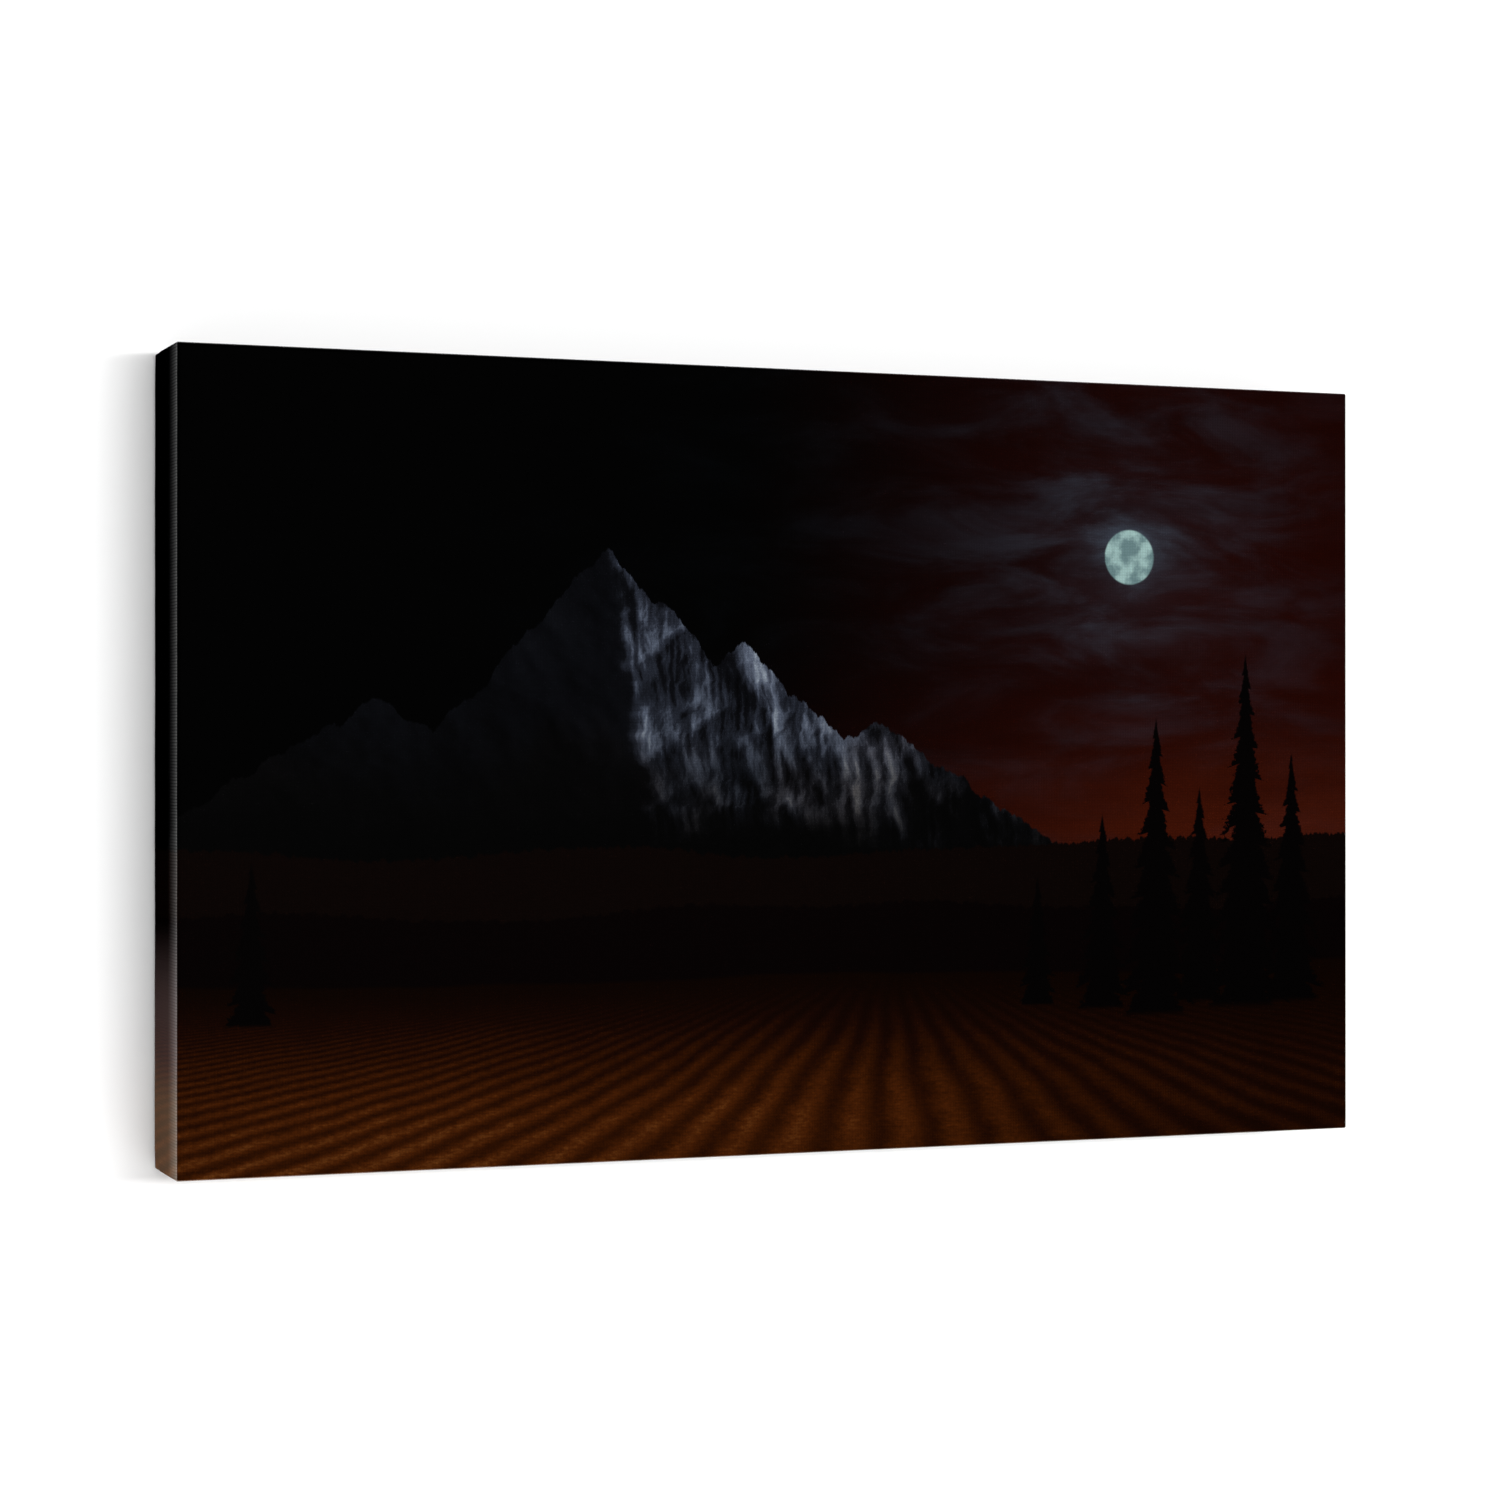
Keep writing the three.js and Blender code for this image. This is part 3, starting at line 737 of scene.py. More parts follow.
@dataclass(frozen=True)
class ThreadEnds(Finish):
    """Loose thread ends along the cut edge of the cloth."""

    name: str = "thread_ends"
    specular: float = 0.2

    def dress(self, look: Look) -> None:
        """Vary the thread's tone and let dust lie on it.

        Args:
            look: the new material.
        """
        place = look.place()
        tone = look.noise(place, 900.0, 2.0)
        look.paint(
            Base_Color=look.mix(tone, ink(201, 192, 170), ink(240, 236, 226)),
            Roughness=look.rise(tone, 0.2, 0.8, 0.95, 0.8),
        )
        look.emboss(tone + look.dust(place, 0.2), 0.03 * MM)


class Lie(Enum):
    """Which way a piece's grain runs: the turns that bring it onto X."""

    LEVEL = (0.0, 0.0, 0.0)
    UPRIGHT = (0.0, QUARTER, 0.0)


@dataclass(frozen=True)
class Softwood(Finish):
    """Planed softwood with rings, fibres and a knot."""

    name: str = "pine"
    specular: float = 0.35
    lie: Lie = Lie.LEVEL
    pale: Ink = ink(226, 197, 148)
    dark: Ink = ink(186, 138, 82)
    knot_colour: Ink = ink(112, 68, 36)
    ring: float = 2.6 * MM
    heart: tuple[float, float, float] = (0.0, 0.012, -0.22)
    knot: tuple[float, float, float] = (0.118, 0.0, 0.002)
    knot_size: float = 4.5 * MM

    def dress(self, look: Look) -> None:
        """Lay the grain along the piece, with a little age and dust.

        Args:
            look: the new material.
        """
        place = look.place()
        laid = look.out("ShaderNodeMapping", {"Vector": place, "Rotation": self.lie.value})
        cut = {"Ring": self.ring, "Heart": self.heart, "Knot": self.knot, "KnotSize": self.knot_size}
        rings, fibres, knot, height = look.effects.grain.read(
            look, "Rings Fibres Knot Height", Place=laid, **cut
        )
        wood = look.mix(rings * 0.75 + (fibres - 0.5) * 0.55 + 0.08, self.pale, self.dark)
        aged = look.mix(look.noise(place, 9.0, 3.0) * 0.4, wood, ink(205, 163, 104), "MULTIPLY")
        dust = look.dust(place, 0.25)
        look.paint(
            Base_Color=look.mix(dust, look.mix(knot * 0.85, aged, self.knot_colour), ink(206, 200, 188)),
            Roughness=look.rise(rings + dust, 0.0, 1.0, 0.66, 0.5) + dust * 0.3,
        )
        look.emboss(height, 0.06 * MM)


@dataclass(frozen=True)
class Metal(Finish):
    """Bare or plated metal with handling marks."""

    name: str = "metal"
    bright: Ink = ink(200, 202, 203)
    dull: Ink = ink(150, 152, 152)
    smoothest: float = 0.26
    roughest: float = 0.5
    scale: float = 1.0
    scratches: float = 0.5

    def dress(self, look: Look) -> None:
        """Dull the metal in patches and scratch it.

        Args:
            look: the new material.
        """
        marks = {"Place": look.place(), "Scale": self.scale, "Amount": self.scratches}
        lines, clouds = look.effects.scuffs.read(look, "Scratches Patches", **marks)
        patches = look.rise(clouds, 0.3, 0.7)
        look.paint(
            Metallic=1.0,
            Base_Color=look.mix(patches * 0.8 - lines * 0.3, self.bright, self.dull),
            Roughness=patches * (self.roughest - self.smoothest) + self.smoothest + lines * 0.12,
        )
        look.emboss(patches * 0.4 - lines, 0.02 * MM)


@dataclass(frozen=True)
class Rubber(Finish):
    """Moulded black rubber with a fine bloom."""

    name: str = "rubber"
    specular: float = 0.4
    body: Ink = ink(38, 38, 40)
    bloom: Ink = ink(96, 95, 92)

    def dress(self, look: Look) -> None:
        """Give the rubber a fine grain, with bloom and dust where it is worn.

        Args:
            look: the new material.
        """
        place = look.place()
        lines, patches = look.effects.scuffs.read(look, "Scratches Patches", Place=place, Amount=0.4)
        grain = look.noise(place, 5200.0, 2.0)
        look.paint(
            Base_Color=look.mix(lines + look.dust(place, 0.7) * 0.6, self.body, self.bloom),
            Roughness=look.rise(grain, 0.2, 0.8, 0.6, 0.82),
        )
        look.emboss(grain + patches * 0.5, 0.03 * MM)


# ---------------------------------------------------------------- mesh helpers


def new_piece(name: str, mesh: bpy.types.Mesh, *materials: bpy.types.Material) -> bpy.types.Object:
    """Put a mesh into the scene.

    Args:
        name: the piece's name.
        mesh: its mesh.
        *materials: its finishes, by slot.

    Returns:
        The new object.
    """
    if mesh.materials:
        mesh.materials.clear()
    for material in materials:
        mesh.materials.append(material)
    piece = bpy.data.objects.new(name, mesh)
    bpy.context.scene.collection.objects.link(piece)
    return piece


def smoothed(mesh: bpy.types.Mesh, sharp_from: float = 40.0) -> bpy.types.Mesh:
    """Shade a mesh smooth.

    Args:
        mesh: the mesh.
        sharp_from: the bend, in degrees, from which an edge stays sharp.

    Returns:
        The same mesh.
    """
    mesh.shade_smooth()
    mesh.set_sharp_from_angle(angle=math.radians(sharp_from))
    return mesh


def with_modifiers(piece: bpy.types.Object) -> bpy.types.Mesh:
    """Make a piece's modifiers part of its mesh.

    Args:
        piece: the piece, whose modifiers are removed.

    Returns:
        The piece's new mesh.
    """
    shown = piece.evaluated_get(bpy.context.evaluated_depsgraph_get())
    mesh = bpy.data.meshes.new_from_object(shown)
    old = piece.data
    piece.modifiers.clear()
    piece.data = mesh
    bpy.data.meshes.remove(old)
    mesh.name = piece.name
    return mesh


def round_edges(piece: bpy.types.Object, width: float, segments: int, angle: float) -> None:
    """Break a piece's sharp edges.

    Args:
        piece: the piece.
        width: the width of the rounding.
        segments: how many facets it has.
        angle: the least bend that is rounded, in degrees.
    """
    bevel = piece.modifiers.new("rounding", "BEVEL")
    bevel.width = width
    bevel.segments = segments
    bevel.limit_method = "ANGLE"
    bevel.angle_limit = math.radians(angle)
    bevel.miter_outer = "MITER_ARC"
    smoothed(with_modifiers(piece))


def closed_mesh(shape: bmesh.types.BMesh, name: str) -> bpy.types.Mesh:
    """Turn a closed shape's faces outwards and keep it as a mesh.

    Args:
        shape: the shape, which is freed.
        name: the mesh's name.

    Returns:
        The new mesh.
    """
    bmesh.ops.recalc_face_normals(shape, faces=shape.faces)
    mesh = bpy.data.meshes.new(name)
    shape.to_mesh(mesh)
    shape.free()
    return mesh


def turned(profile: list[tuple[float, float]], at: Vector, sides: int, name: str) -> bpy.types.Mesh:
    """Turn a profile round an axis along Y.

    Args:
        profile: pairs of radius and Y, from the axis at the front to the axis at the back.
        at: a point on the axis.
        sides: how many facets go round.
        name: the mesh's name.

    Returns:
        The closed mesh.
    """
    shape = bmesh.new()
    rings = []
    for radius, y in profile:
        turns = [2 * math.pi * i / sides for i in range(sides)] if radius > 0 else [0.0]
        spots = [(at.x + radius * math.cos(turn), y, at.z + radius * math.sin(turn)) for turn in turns]
        rings.append([shape.verts.new(spot) for spot in spots])
    for near, far in zip(rings, rings[1:]):
        for i in range(sides):
            j = (i + 1) % sides
            corners = [near[i % len(near)], near[j % len(near)], far[j % len(far)], far[i % len(far)]]
            shape.faces.new(list(dict.fromkeys(corners)))
    return closed_mesh(shape, name)


def finish_piece(piece: bpy.types.Object, slot: str, *replaced: str) -> None:
    """Attach a piece to the body and hide the nodes that it stands for.

    Args:
        piece: the finished piece.
        slot: not used.
        *replaced: the nodes that it stands for.
    """
    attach(piece, BODY)
    if replaced:
        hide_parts(*replaced)
    log.info("%s: %d faces, for %d nodes", piece.name, len(piece.data.polygons), len(replaced))


def ease(value: np.ndarray | float) -> np.ndarray:
    """A smooth step from 0 to 1."""
    held = np.clip(value, 0.0, 1.0)
    return held * held * (3.0 - 2.0 * held)


def waves(place: np.ndarray, length: float, seed: float) -> np.ndarray:
    """A smooth uneven line between -1 and 1.

    Args:
        place: where it is read.
        length: the length of its main wave.
        seed: shifts the line.

    Returns:
        Its value at each place.
    """
    turn = place * (2 * math.pi / length)
    return sum(high * np.sin(turn * fast + seed * late) for high, fast, late in RIPPLES) / 2.0


def band(near: np.ndarray, far: np.ndarray) -> np.ndarray:
    """The four point numbers of each face between closed lines and the lines beyond them."""
    return np.stack([near, far, np.roll(far, -1, -1), np.roll(near, -1, -1)], -1).reshape(-1, 4)


# ---------------------------------------------------------------- the cloth


@dataclass(frozen=True)
class PictureSize:
    """The outside of the wrapped picture: half its width and height, its middle height, front and back."""

    half_width: float
    half_height: float
    middle: float
    front: float
    back: float

    @classmethod
    def of_node(cls, name: str) -> "PictureSize":
        """Read the size from the node that wraps the picture."""
        low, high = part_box(name)
        return cls((high.x - low.x) / 2, (high.z - low.z) / 2, (high.z + low.z) / 2, low.y, high.y)


@dataclass(frozen=True)
class Station:
    """One line round the cloth, between its face and its cut edge.

    Attributes:
        inset: how far it lies in from the outside of the picture.
        y: its depth.
        corner: the radius of its corners.
        run: how far the cloth has gone from the flat of the face.
        outwards: the sideways part of the surface's normal.
        backwards: the part of the normal along Y.
    """

    inset: float
    y: float
    corner: float
    run: float
    outwards: float
    backwards: float


@dataclass
class StretchedCloth:
    """The printed cloth: its face, wrapped sides, folded corners and stapled margin.

    Its sides are numbered 0 right, 1 top, 2 left and 3 bottom.

    Attributes:
        staples: the middle of each staple.
        flats: the middle and radius of each thing that presses the margin flat.
        places: places along the level and the upright sides.
    """

    size: PictureSize
    staples: list[Vector]
    flats: list[tuple[Vector, float]]
    thickness: float = 0.5 * MM
    margin: float = 24.0 * MM
    front_radius: float = 1.0 * MM
    back_radius: float = 1.5 * MM
    corner_radius: float = 0.8 * MM
    arc_steps: int = 4
    front_steps: int = 6
    back_steps: int = 5
    margin_steps: int = 14
    margin_lift: float = 0.26 * MM
    pucker: float = 0.34 * MM
    pucker_starts: float = 9.0 * MM
    staple_hold: float = 11.0 * MM
    tuck: float = 0.46 * MM
    flap_rise: float = 0.75 * MM
    hem_gap: float = 0.38 * MM
    curl_length: float = 31.0 * MM
    tuck_reach: float = 7.0 * MM
    side_wave: float = 0.07 * MM
    wave_length: float = 95.0 * MM
    wave_grows: float = 20.0 * MM
    ragged_edge: float = 0.45 * MM
    ragged_length: float = 58.0 * MM
    ragged_starts: float = 14.0 * MM
    ragged_grows: float = 10.0 * MM
    face_dish: float = 0.35 * MM
    face_swell: float = 0.12 * MM
    places: tuple[np.ndarray, np.ndarray] = field(init=False)

    def __post_init__(self) -> None:
        """Set the places along the sides."""
        self.places = (
            self.places_along(self.size.half_width, True),
            self.places_along(self.size.half_height, False),
        )

    def profile(self, printed: bool) -> list[Station]:
        """The stations of one side of the cloth.

        Args:
            printed: whether it is the outside, which has the finer steps.

        Returns:
            The stations from the flat of the face to the cut edge.
        """
        inset, side_steps = (0.0, 28) if printed else (self.thickness, 8)
        front, back, corner = (r - inset for r in (self.front_radius, self.back_radius, self.corner_radius))
        front_y, back_y = self.size.front + inset, self.size.back - inset
        found = []
        for step in range(self.front_steps + 1):
            angle = QUARTER * step / self.front_steps
            out, rear = math.sin(angle), -math.cos(angle)
            pulled, y = inset + front * (1 - out), front_y + front * (1 + rear)
            found.append(Station(pulled, y, corner * step / self.front_steps, front * angle, out, rear))
        run = front * QUARTER
        length = back_y - front_y - front - back
        for step in range(1, side_steps):
            gone = step / side_steps * length
            found.append(Station(inset, front_y + front + gone, corner, run + gone, 1.0, 0.0))
        run += length
        for step in range(self.back_steps + 1):
            angle = QUARTER * step / self.back_steps
            out, rear = math.cos(angle), math.sin(angle)
            pulled, y = back * (1 - out), back_y - back * (1 - rear)
            radius = max(corner - pulled, 0.0)
            found.append(Station(inset + pulled, y, radius, run + back * angle, out, rear))
        run += back * QUARTER
        start = inset + back
        for step in range(1, self.margin_steps + 1):
            reach = step / self.margin_steps * (self.margin - start)
            radius = max(corner - back - reach, 0.0)
            found.append(Station(start + reach, back_y, radius, run + reach, 0.0, 1.0))
        return found

    def places_along(self, half: float, folded: bool) -> np.ndarray:
        """Places along a side from -1 to 1, close together near its corners.

        Args:
            half: half of the side's length.
            folded: whether the side shows the corner folds, which need closer places.

        Returns:
            The places in rising order.
        """
        near = [0.0, 0.2, 0.45, 0.7, 1.0, 1.4, 1.9, 2.6, 3.5] if folded else [0.0, 0.4, 1.0, 2.0, 3.5]
        close = 1.25 * MM if folded else 3.0 * MM
        close_until, wide = 42.0 * MM, 4.5 * MM
        offsets = [value * MM for value in near]
        while offsets[-1] < close_until:
            offsets.append(offsets[-1] + close)
        straight = half - self.corner_radius
        rest = straight - offsets[-1]
        count = max(int(rest / wide), 2)
        offsets += [offsets[-1] + rest * i / count for i in range(1, count + 1)]
        inner = 1.0 - np.array(offsets) / straight
        return np.concatenate([-inner, inner[-2::-1]])

    def flap(self, from_corner: np.ndarray, depth: float) -> np.ndarray:
        """How far a folded corner stands proud of the top and bottom sides.

        Args:
            from_corner: distance along the side from its nearer corner.
            depth: distance behind the front of the picture.

        Returns:
            The rise, below zero in the narrow gap beside the hem.
        """
        layers = ease((depth - from_corner) / (3.2 * MM) + 0.5)
        hem = ease((from_corner - 1.05 * MM) / (0.75 * MM))
        starts = ease((depth - 1.5 * MM) / (9.0 * MM))
        gap = np.exp(-(((from_corner - 1.0 * MM) / (0.33 * MM)) ** 2)) * ease((depth - 3.0 * MM) / (8.0 * MM))
        return self.flap_rise * layers * hem * starts - self.hem_gap * gap

    def held(self, x: np.ndarray, z: np.ndarray) -> np.ndarray:
        """How firmly the nearest staple holds the cloth down, from 0 to 1."""
        away = np.min([(x - at.x) ** 2 + (z - at.z) ** 2 for at in self.staples], axis=0)
        return np.exp(-away / self.staple_hold**2)

    def pressed(self, x: np.ndarray, z: np.ndarray) -> np.ndarray:
        """Where the cloth lies flat under the hanger and the bumpers, from 0 to 1."""
        within = [radius + 4 * MM - np.hypot(x - at.x, z - at.z) for at, radius in self.flats]
        return ease(np.max(within, axis=0) / (3 * MM))

    def margin_rise(self, side: int, x: np.ndarray, z: np.ndarray, station: Station) -> np.ndarray:
        """How far the folded margin stands off the bars.

        Args:
            side: the side's number.
            x: places across.
            z: places up.
            station: the line round the cloth.

        Returns:
            The rise of each place.
        """
        share = ease((station.inset - self.pucker_starts) / (self.margin - self.pucker_starts))
        loose = 1.0 - self.held(x, z)
        curl = waves(x + 1.7 * z, self.curl_length, 1.0 + side) * 0.5 + 0.5
        unpressed = 1.0 - self.pressed(x, z)
        rise = self.margin_lift + self.pucker * share * loose * (0.45 + 0.55 * curl) * unpressed
        if side in (0, 2):
            from_corner = self.size.half_height - np.abs(z - self.size.middle)
            under = ease(1.0 - (from_corner - station.inset) / self.tuck_reach)
            rise = rise - under * self.tuck * (1.0 - ease((rise - 0.6 * MM) / MM))
        return rise

    def rises(self, side: int, x: np.ndarray, z: np.ndarray, station: Station, printed: bool) -> np.ndarray:
        """How far each place of a line stands out along its normal.

        Args:
            side: the side's number.
            x: places across.
            z: places up.
            station: the line round the cloth.
            printed: whether this is the outside of the cloth.

        Returns:
            The rise of each place.
        """
        over = float(ease(station.backwards)) if station.run > self.front_radius * QUARTER else 0.0
        depth = min(station.y, self.size.back - self.back_radius) - self.size.front
        on_side = np.zeros_like(x)
        if printed and station.run > 0:
            along = x if side in (1, 3) else z
            wave = waves(along, self.wave_length, 2.0 + side) * self.side_wave
            on_side = wave * ease(depth / self.wave_grows)
            if side in (1, 3):
                on_side = on_side + self.flap(self.size.half_width - np.abs(x), depth)
        return on_side * (1 - over) + self.margin_rise(side, x, z, station) * over

    def ring(self, station: Station, printed: bool) -> np.ndarray:
        """The points of one line round the cloth, from the lower right corner up and round.

        Args:
            station: the line.
            printed: whether this is the outside of the cloth.

        Returns:
            Rows of X, Y, Z, the flat place S and T, and that place as the upright sides count it.
        """
        halves = self.size.half_height - station.inset, self.size.half_width - station.inset
        flat_x, flat_z = (half + station.run for half in self.flat_face)
        rows, ends = [], []
        for side in range(4):
            level = side % 2
            sign = 1.0 if side in (0, 1) else -1.0
            heading = -1.0 if side in (1, 2) else 1.0
            along = self.places[1 - level] * heading * (halves[level] - station.corner)
            across = np.full_like(along, sign * halves[1 - level])
            flat = np.full_like(along, sign * (flat_z if level else flat_x))
            x, z = (along, across) if level else (across, along)
            rise = self.rises(side, x, z + self.size.middle, station, printed)
            grown = ease((station.inset - self.ragged_starts) / self.ragged_grows)
            ragged = waves(along, self.ragged_length, 3.0 + side) * grown
            across = across + sign * (rise * station.outwards - ragged * self.ragged_edge * station.backwards)
            y = station.y + rise * station.backwards
            row = [along, y, across, along, flat] if level else [across, y, along, flat, along]
            rows.append(np.column_stack(row))
            ends.append((rise[0], rise[-1]))
        full = []
        for side in range(4):
            full += [rows[side], self.corner(side, station, ends[side][1], ends[(side + 1) % 4][0])]
        points = np.concatenate(full)
        upright = np.abs(np.abs(points[:, 3]) - flat_x) < SAME_PLACE
        t = np.where(upright, points[:, 4], points[:, 2])
        points[:, 2] += self.size.middle
        return np.column_stack([points, np.copysign(flat_x, points[:, 0]), t])

    def corner(self, side: int, station: Station, before: float, after: float) -> np.ndarray:
        """The points round the corner that follows a side, its ends left out.

        Args:
            side: the number of the side before the corner.
            station: the line round the cloth.
            before: the rise where the corner starts.
            after: the rise where it ends.

        Returns:
            Rows of X, Y, Z and the flat place S and T.
        """
        right = 1.0 if side in (0, 3) else -1.0
        up = 1.0 if side in (0, 1) else -1.0
        share = np.arange(1, self.arc_steps) / self.arc_steps
        angle = QUARTER * (side + share)
        rise = before + (after - before) * share
        reach = station.corner + rise * station.outwards
        wide, tall = (
            half - station.inset - station.corner for half in (self.size.half_width, self.size.half_height)
        )
        x = right * wide + reach * np.cos(angle)
        z = up * tall + reach * np.sin(angle)
        s = np.full_like(x, right * (self.flat_face[0] + station.run))
        t = up * (tall + station.corner * np.abs(np.arctan2(np.sin(angle), np.abs(np.cos(angle)))))
        return np.column_stack([x, station.y + rise * station.backwards, z, s, t])

    def face_points(self, inset: float) -> np.ndarray:
        """The grid of the flat face.

        Args:
            inset: how far this side of the cloth lies in from the outside.

        Returns:
            Rows as in ring, upright place by upright place.
        """
        x, z = np.meshgrid(*(places * half for places, half in zip(self.places, self.flat_face)))
        edge_x, edge_z = (1.0 - np.abs(places) ** 6 for places in self.places)
        calm = edge_x[None, :] * edge_z[:, None]
        swell = waves(x + 0.4 * z, 0.21, 1.0) * waves(z - 0.3 * x, 0.17, 2.0)
        y = self.size.front + inset + calm * (self.face_dish + self.face_swell * swell)
        return np.column_stack([part.ravel() for part in (x, y, z + self.size.middle, x, z, x, z)])

    def shell(self, printed: bool) -> tuple[np.ndarray, np.ndarray, np.ndarray, np.ndarray]:
        """One side of the cloth.

        Args:
            printed: whether this is the outside.

        Returns:
            Its points as in ring, its faces as point numbers, the flat places of each face's corners,
            and the numbers of the points of its cut edge.
        """
        face = self.face_points(0.0 if printed else self.thickness)
        rings = [self.ring(station, printed) for station in self.profile(printed)]
        points = np.concatenate([face, *rings])
        wide, tall = (len(places) for places in self.places)
        grid = np.arange(wide * tall).reshape(tall, wide)
        lines = np.arange(len(face), len(points)).reshape(len(rings), -1)
        middle = np.stack([grid[:-1, :-1], grid[:-1, 1:], grid[1:, 1:], grid[1:, :-1]], -1).reshape(-1, 4)
        around = band(lines[:-1], lines[1:])
        turning = [np.arange(own - 1 + self.arc_steps) >= own - 1 for own in (tall, wide, tall, wide)]
        at_corner = np.tile(np.concatenate(turning), len(rings) - 1)[:, None, None]
        wrapped = np.where(at_corner, points[around, 5:], points[around, 3:5])
        faces, flats = np.concatenate([middle, around]), np.concatenate([points[middle, 3:5], wrapped])
        if not printed:
            faces, flats = faces[:, ::-1], flats[:, ::-1]
        return points, faces, flats, lines[-1]

    def build(self, printed: bpy.types.Material, raw: bpy.types.Material) -> bpy.types.Object:
        """Build the cloth as one closed piece.

        Args:
            printed: the finish of its outside.
            raw: the finish of its inside and its cut edge.

        Returns:
            The piece.
        """
        outer, outer_faces, outer_flats, outer_rim = self.shell(True)
        inner, inner_faces, inner_flats, inner_rim = self.shell(False)
        rims = band(outer_rim, inner_rim + len(outer))
        rim_flats = outer[band(outer_rim, outer_rim), 3:5]
        rim_flats[:, 1:3] *= 1 + self.thickness / np.abs(rim_flats[:, 1:3]).max(-1, keepdims=True)
        faces = np.concatenate([outer_faces, inner_faces + len(outer), rims])
        flats = np.concatenate([outer_flats, inner_flats, rim_flats])
        part = np.repeat([0, 1, 2], [len(outer_faces), len(inner_faces), len(rims)])

        mesh = bpy.data.meshes.new("canvas_cloth")
        mesh.from_pydata(np.concatenate([outer, inner])[:, :3].tolist(), [], faces.tolist())
        for name, spots in ((FLAT_MAP, flats), (BAKE_MAP, self.bake_spots(flats, part == 1))):
            mesh.uv_layers.new(name=name).data.foreach_set("uv", spots.ravel())
        mesh.polygons.foreach_set("material_index", (part > 0).astype(np.int32))
        shape = bmesh.new()
        shape.from_mesh(mesh)
        bmesh.ops.remove_doubles(shape, verts=shape.verts, dist=0.002 * MM)
        shape.to_mesh(mesh)
        shape.free()
        return new_piece("canvas_cloth", smoothed(mesh, 50.0), printed, raw)

    def bake_spots(self, spots: np.ndarray, inside: np.ndarray) -> np.ndarray:
        """Lay both sides of the flat cut into one square, the printed side the larger.

        Args:
            spots: the flat places of each face's corners.
            inside: which faces are on the raw side.

        Returns:
            The places in the square.
        """
        reach = np.abs(spots).max((0, 1)) + 0.6 * MM
        gap = 0.003
        scale = (0.5 - gap - 0.001) / reach[0]
        printed_at = 1.0 - gap - scale * reach[1]
        raw_at = 0.5 * (printed_at - scale * reach[1]) - 0.002
        s, t = spots[..., 0], spots[..., 1]
        v = np.where(inside[:, None], raw_at + t * (raw_at - gap) / reach[1], printed_at + t * scale)
        return np.stack([0.5 + s * scale, v], -1)

    def edge_loop(self) -> tuple[list[Vector], list[Vector]]:
        """The middle of the cut edge.

        Returns:
            Its points in order, and the direction from each into the picture's window.
        """
        outer, inner = (self.ring(self.profile(printed)[-1], printed) for printed in (True, False))
        points, ways = [], []
        for row in (outer[:, :3] + inner[:, :3]) / 2:
            point = Vector(row)
            if points and (point - points[-1]).length < 0.01 * MM:
                continue
            up = point.z - self.size.middle
            level = self.size.half_height - abs(up) < self.size.half_width - abs(point.x)
            way = (0, 0, -math.copysign(1, up)) if level else (-math.copysign(1, point.x), 0, 0)
            points.append(point)
            ways.append(Vector(way))
        return points, ways

    @property
    def flat_face(self) -> tuple[float, float]:
        """Half of the width and height of the face between its folds."""
        return self.size.half_width - self.front_radius, self.size.half_height - self.front_radius

    @property
    def to_margin(self) -> float:
        """How far the cloth goes from the flat face to the start of the folded margin."""
        side = self.size.back - self.size.front - self.front_radius - self.back_radius
        return (self.front_radius + self.back_radius) * QUARTER + side

    @property
    def flat_cut(self) -> tuple[float, float]:
        """The width and height that the cloth is cut to."""
        run = self.profile(True)[-1].run - self.front_radius
        return 2 * (self.size.half_width + run), 2 * (self.size.half_height + run)


# ---------------------------------------------------------------- pieces that Geometry Nodes make


class GeometryTree(NamedTree):
    """A Geometry Nodes tree with named inputs, which ends in real geometry with a finish."""

    def __init__(self, name: str, **inputs: float | int) -> None:
        """Make the tree, with its sizes and its seed as inputs."""
        super().__init__(name, "GeometryNodeTree", {"Geometry": None, **inputs}, {"Geometry": None})

    def evenly(self, curve: Wire, mode: str, **spacing: object) -> Wire:
        """A curve with evenly spaced points."""
        return self.out("GeometryNodeResampleCurve", {"Curve": curve, **spacing}, mode=mode)

    def rounded(self, curve: Wire, count: int, radius: Wire) -> Wire:
        """A curve with rounded corners of so many points each."""
        inputs = {"Curve": curve, "Count": count, "Radius": radius}
        return self.out("GeometryNodeFilletCurve", inputs, mode="POLY")

    def between(self, low: Value, high: Value, seed: Value) -> Wire:
        """A random number between two limits, new for each point."""
        return self.out("FunctionNodeRandomValue", {2: low, 3: high, "Seed": seed}, 1, data_type="FLOAT")

    def sweep(self, curve: Wire, section: Wire) -> Wire:
        """A closed solid with one section all along a curve."""
        inputs = {"Curve": curve, "Profile Curve": section, "Fill Caps": True}
        return self.out("GeometryNodeCurveToMesh", inputs)

    def named(self, name: str, kind: str) -> Wire:
        """What the points of the base mesh know under a name."""
        return self.out("GeometryNodeInputNamedAttribute", {"Name": name}, data_type=kind)

    def scatter(self, material: bpy.types.Material, **inputs: object) -> None:
        """Put an instance on every point, make them real and give them their finish."""
        real = self.out("GeometryNodeRealizeInstances", {0: self.out("GeometryNodeInstanceOnPoints", inputs)})
        self.give(Geometry=self.out("GeometryNodeSetMaterial", {"Geometry": real, "Material": material}))

    def grow(self, name: str, base: bpy.types.Mesh) -> bpy.types.Mesh:
        """Run the tree on a mesh.

        Args:
            name: the new mesh's name.
            base: the mesh that it starts from, which is removed.

        Returns:
            The plain mesh that comes out.
        """
        carrier = new_piece(name + "_base", base)
        modifier = carrier.modifiers.new(name, "NODES")
        modifier.node_group = self.tree
        for identifier, value in self.usual.items():
            modifier[identifier] = value
        mesh = with_modifiers(carrier)
        mesh.name = name
        bpy.data.objects.remove(carrier)
        return mesh


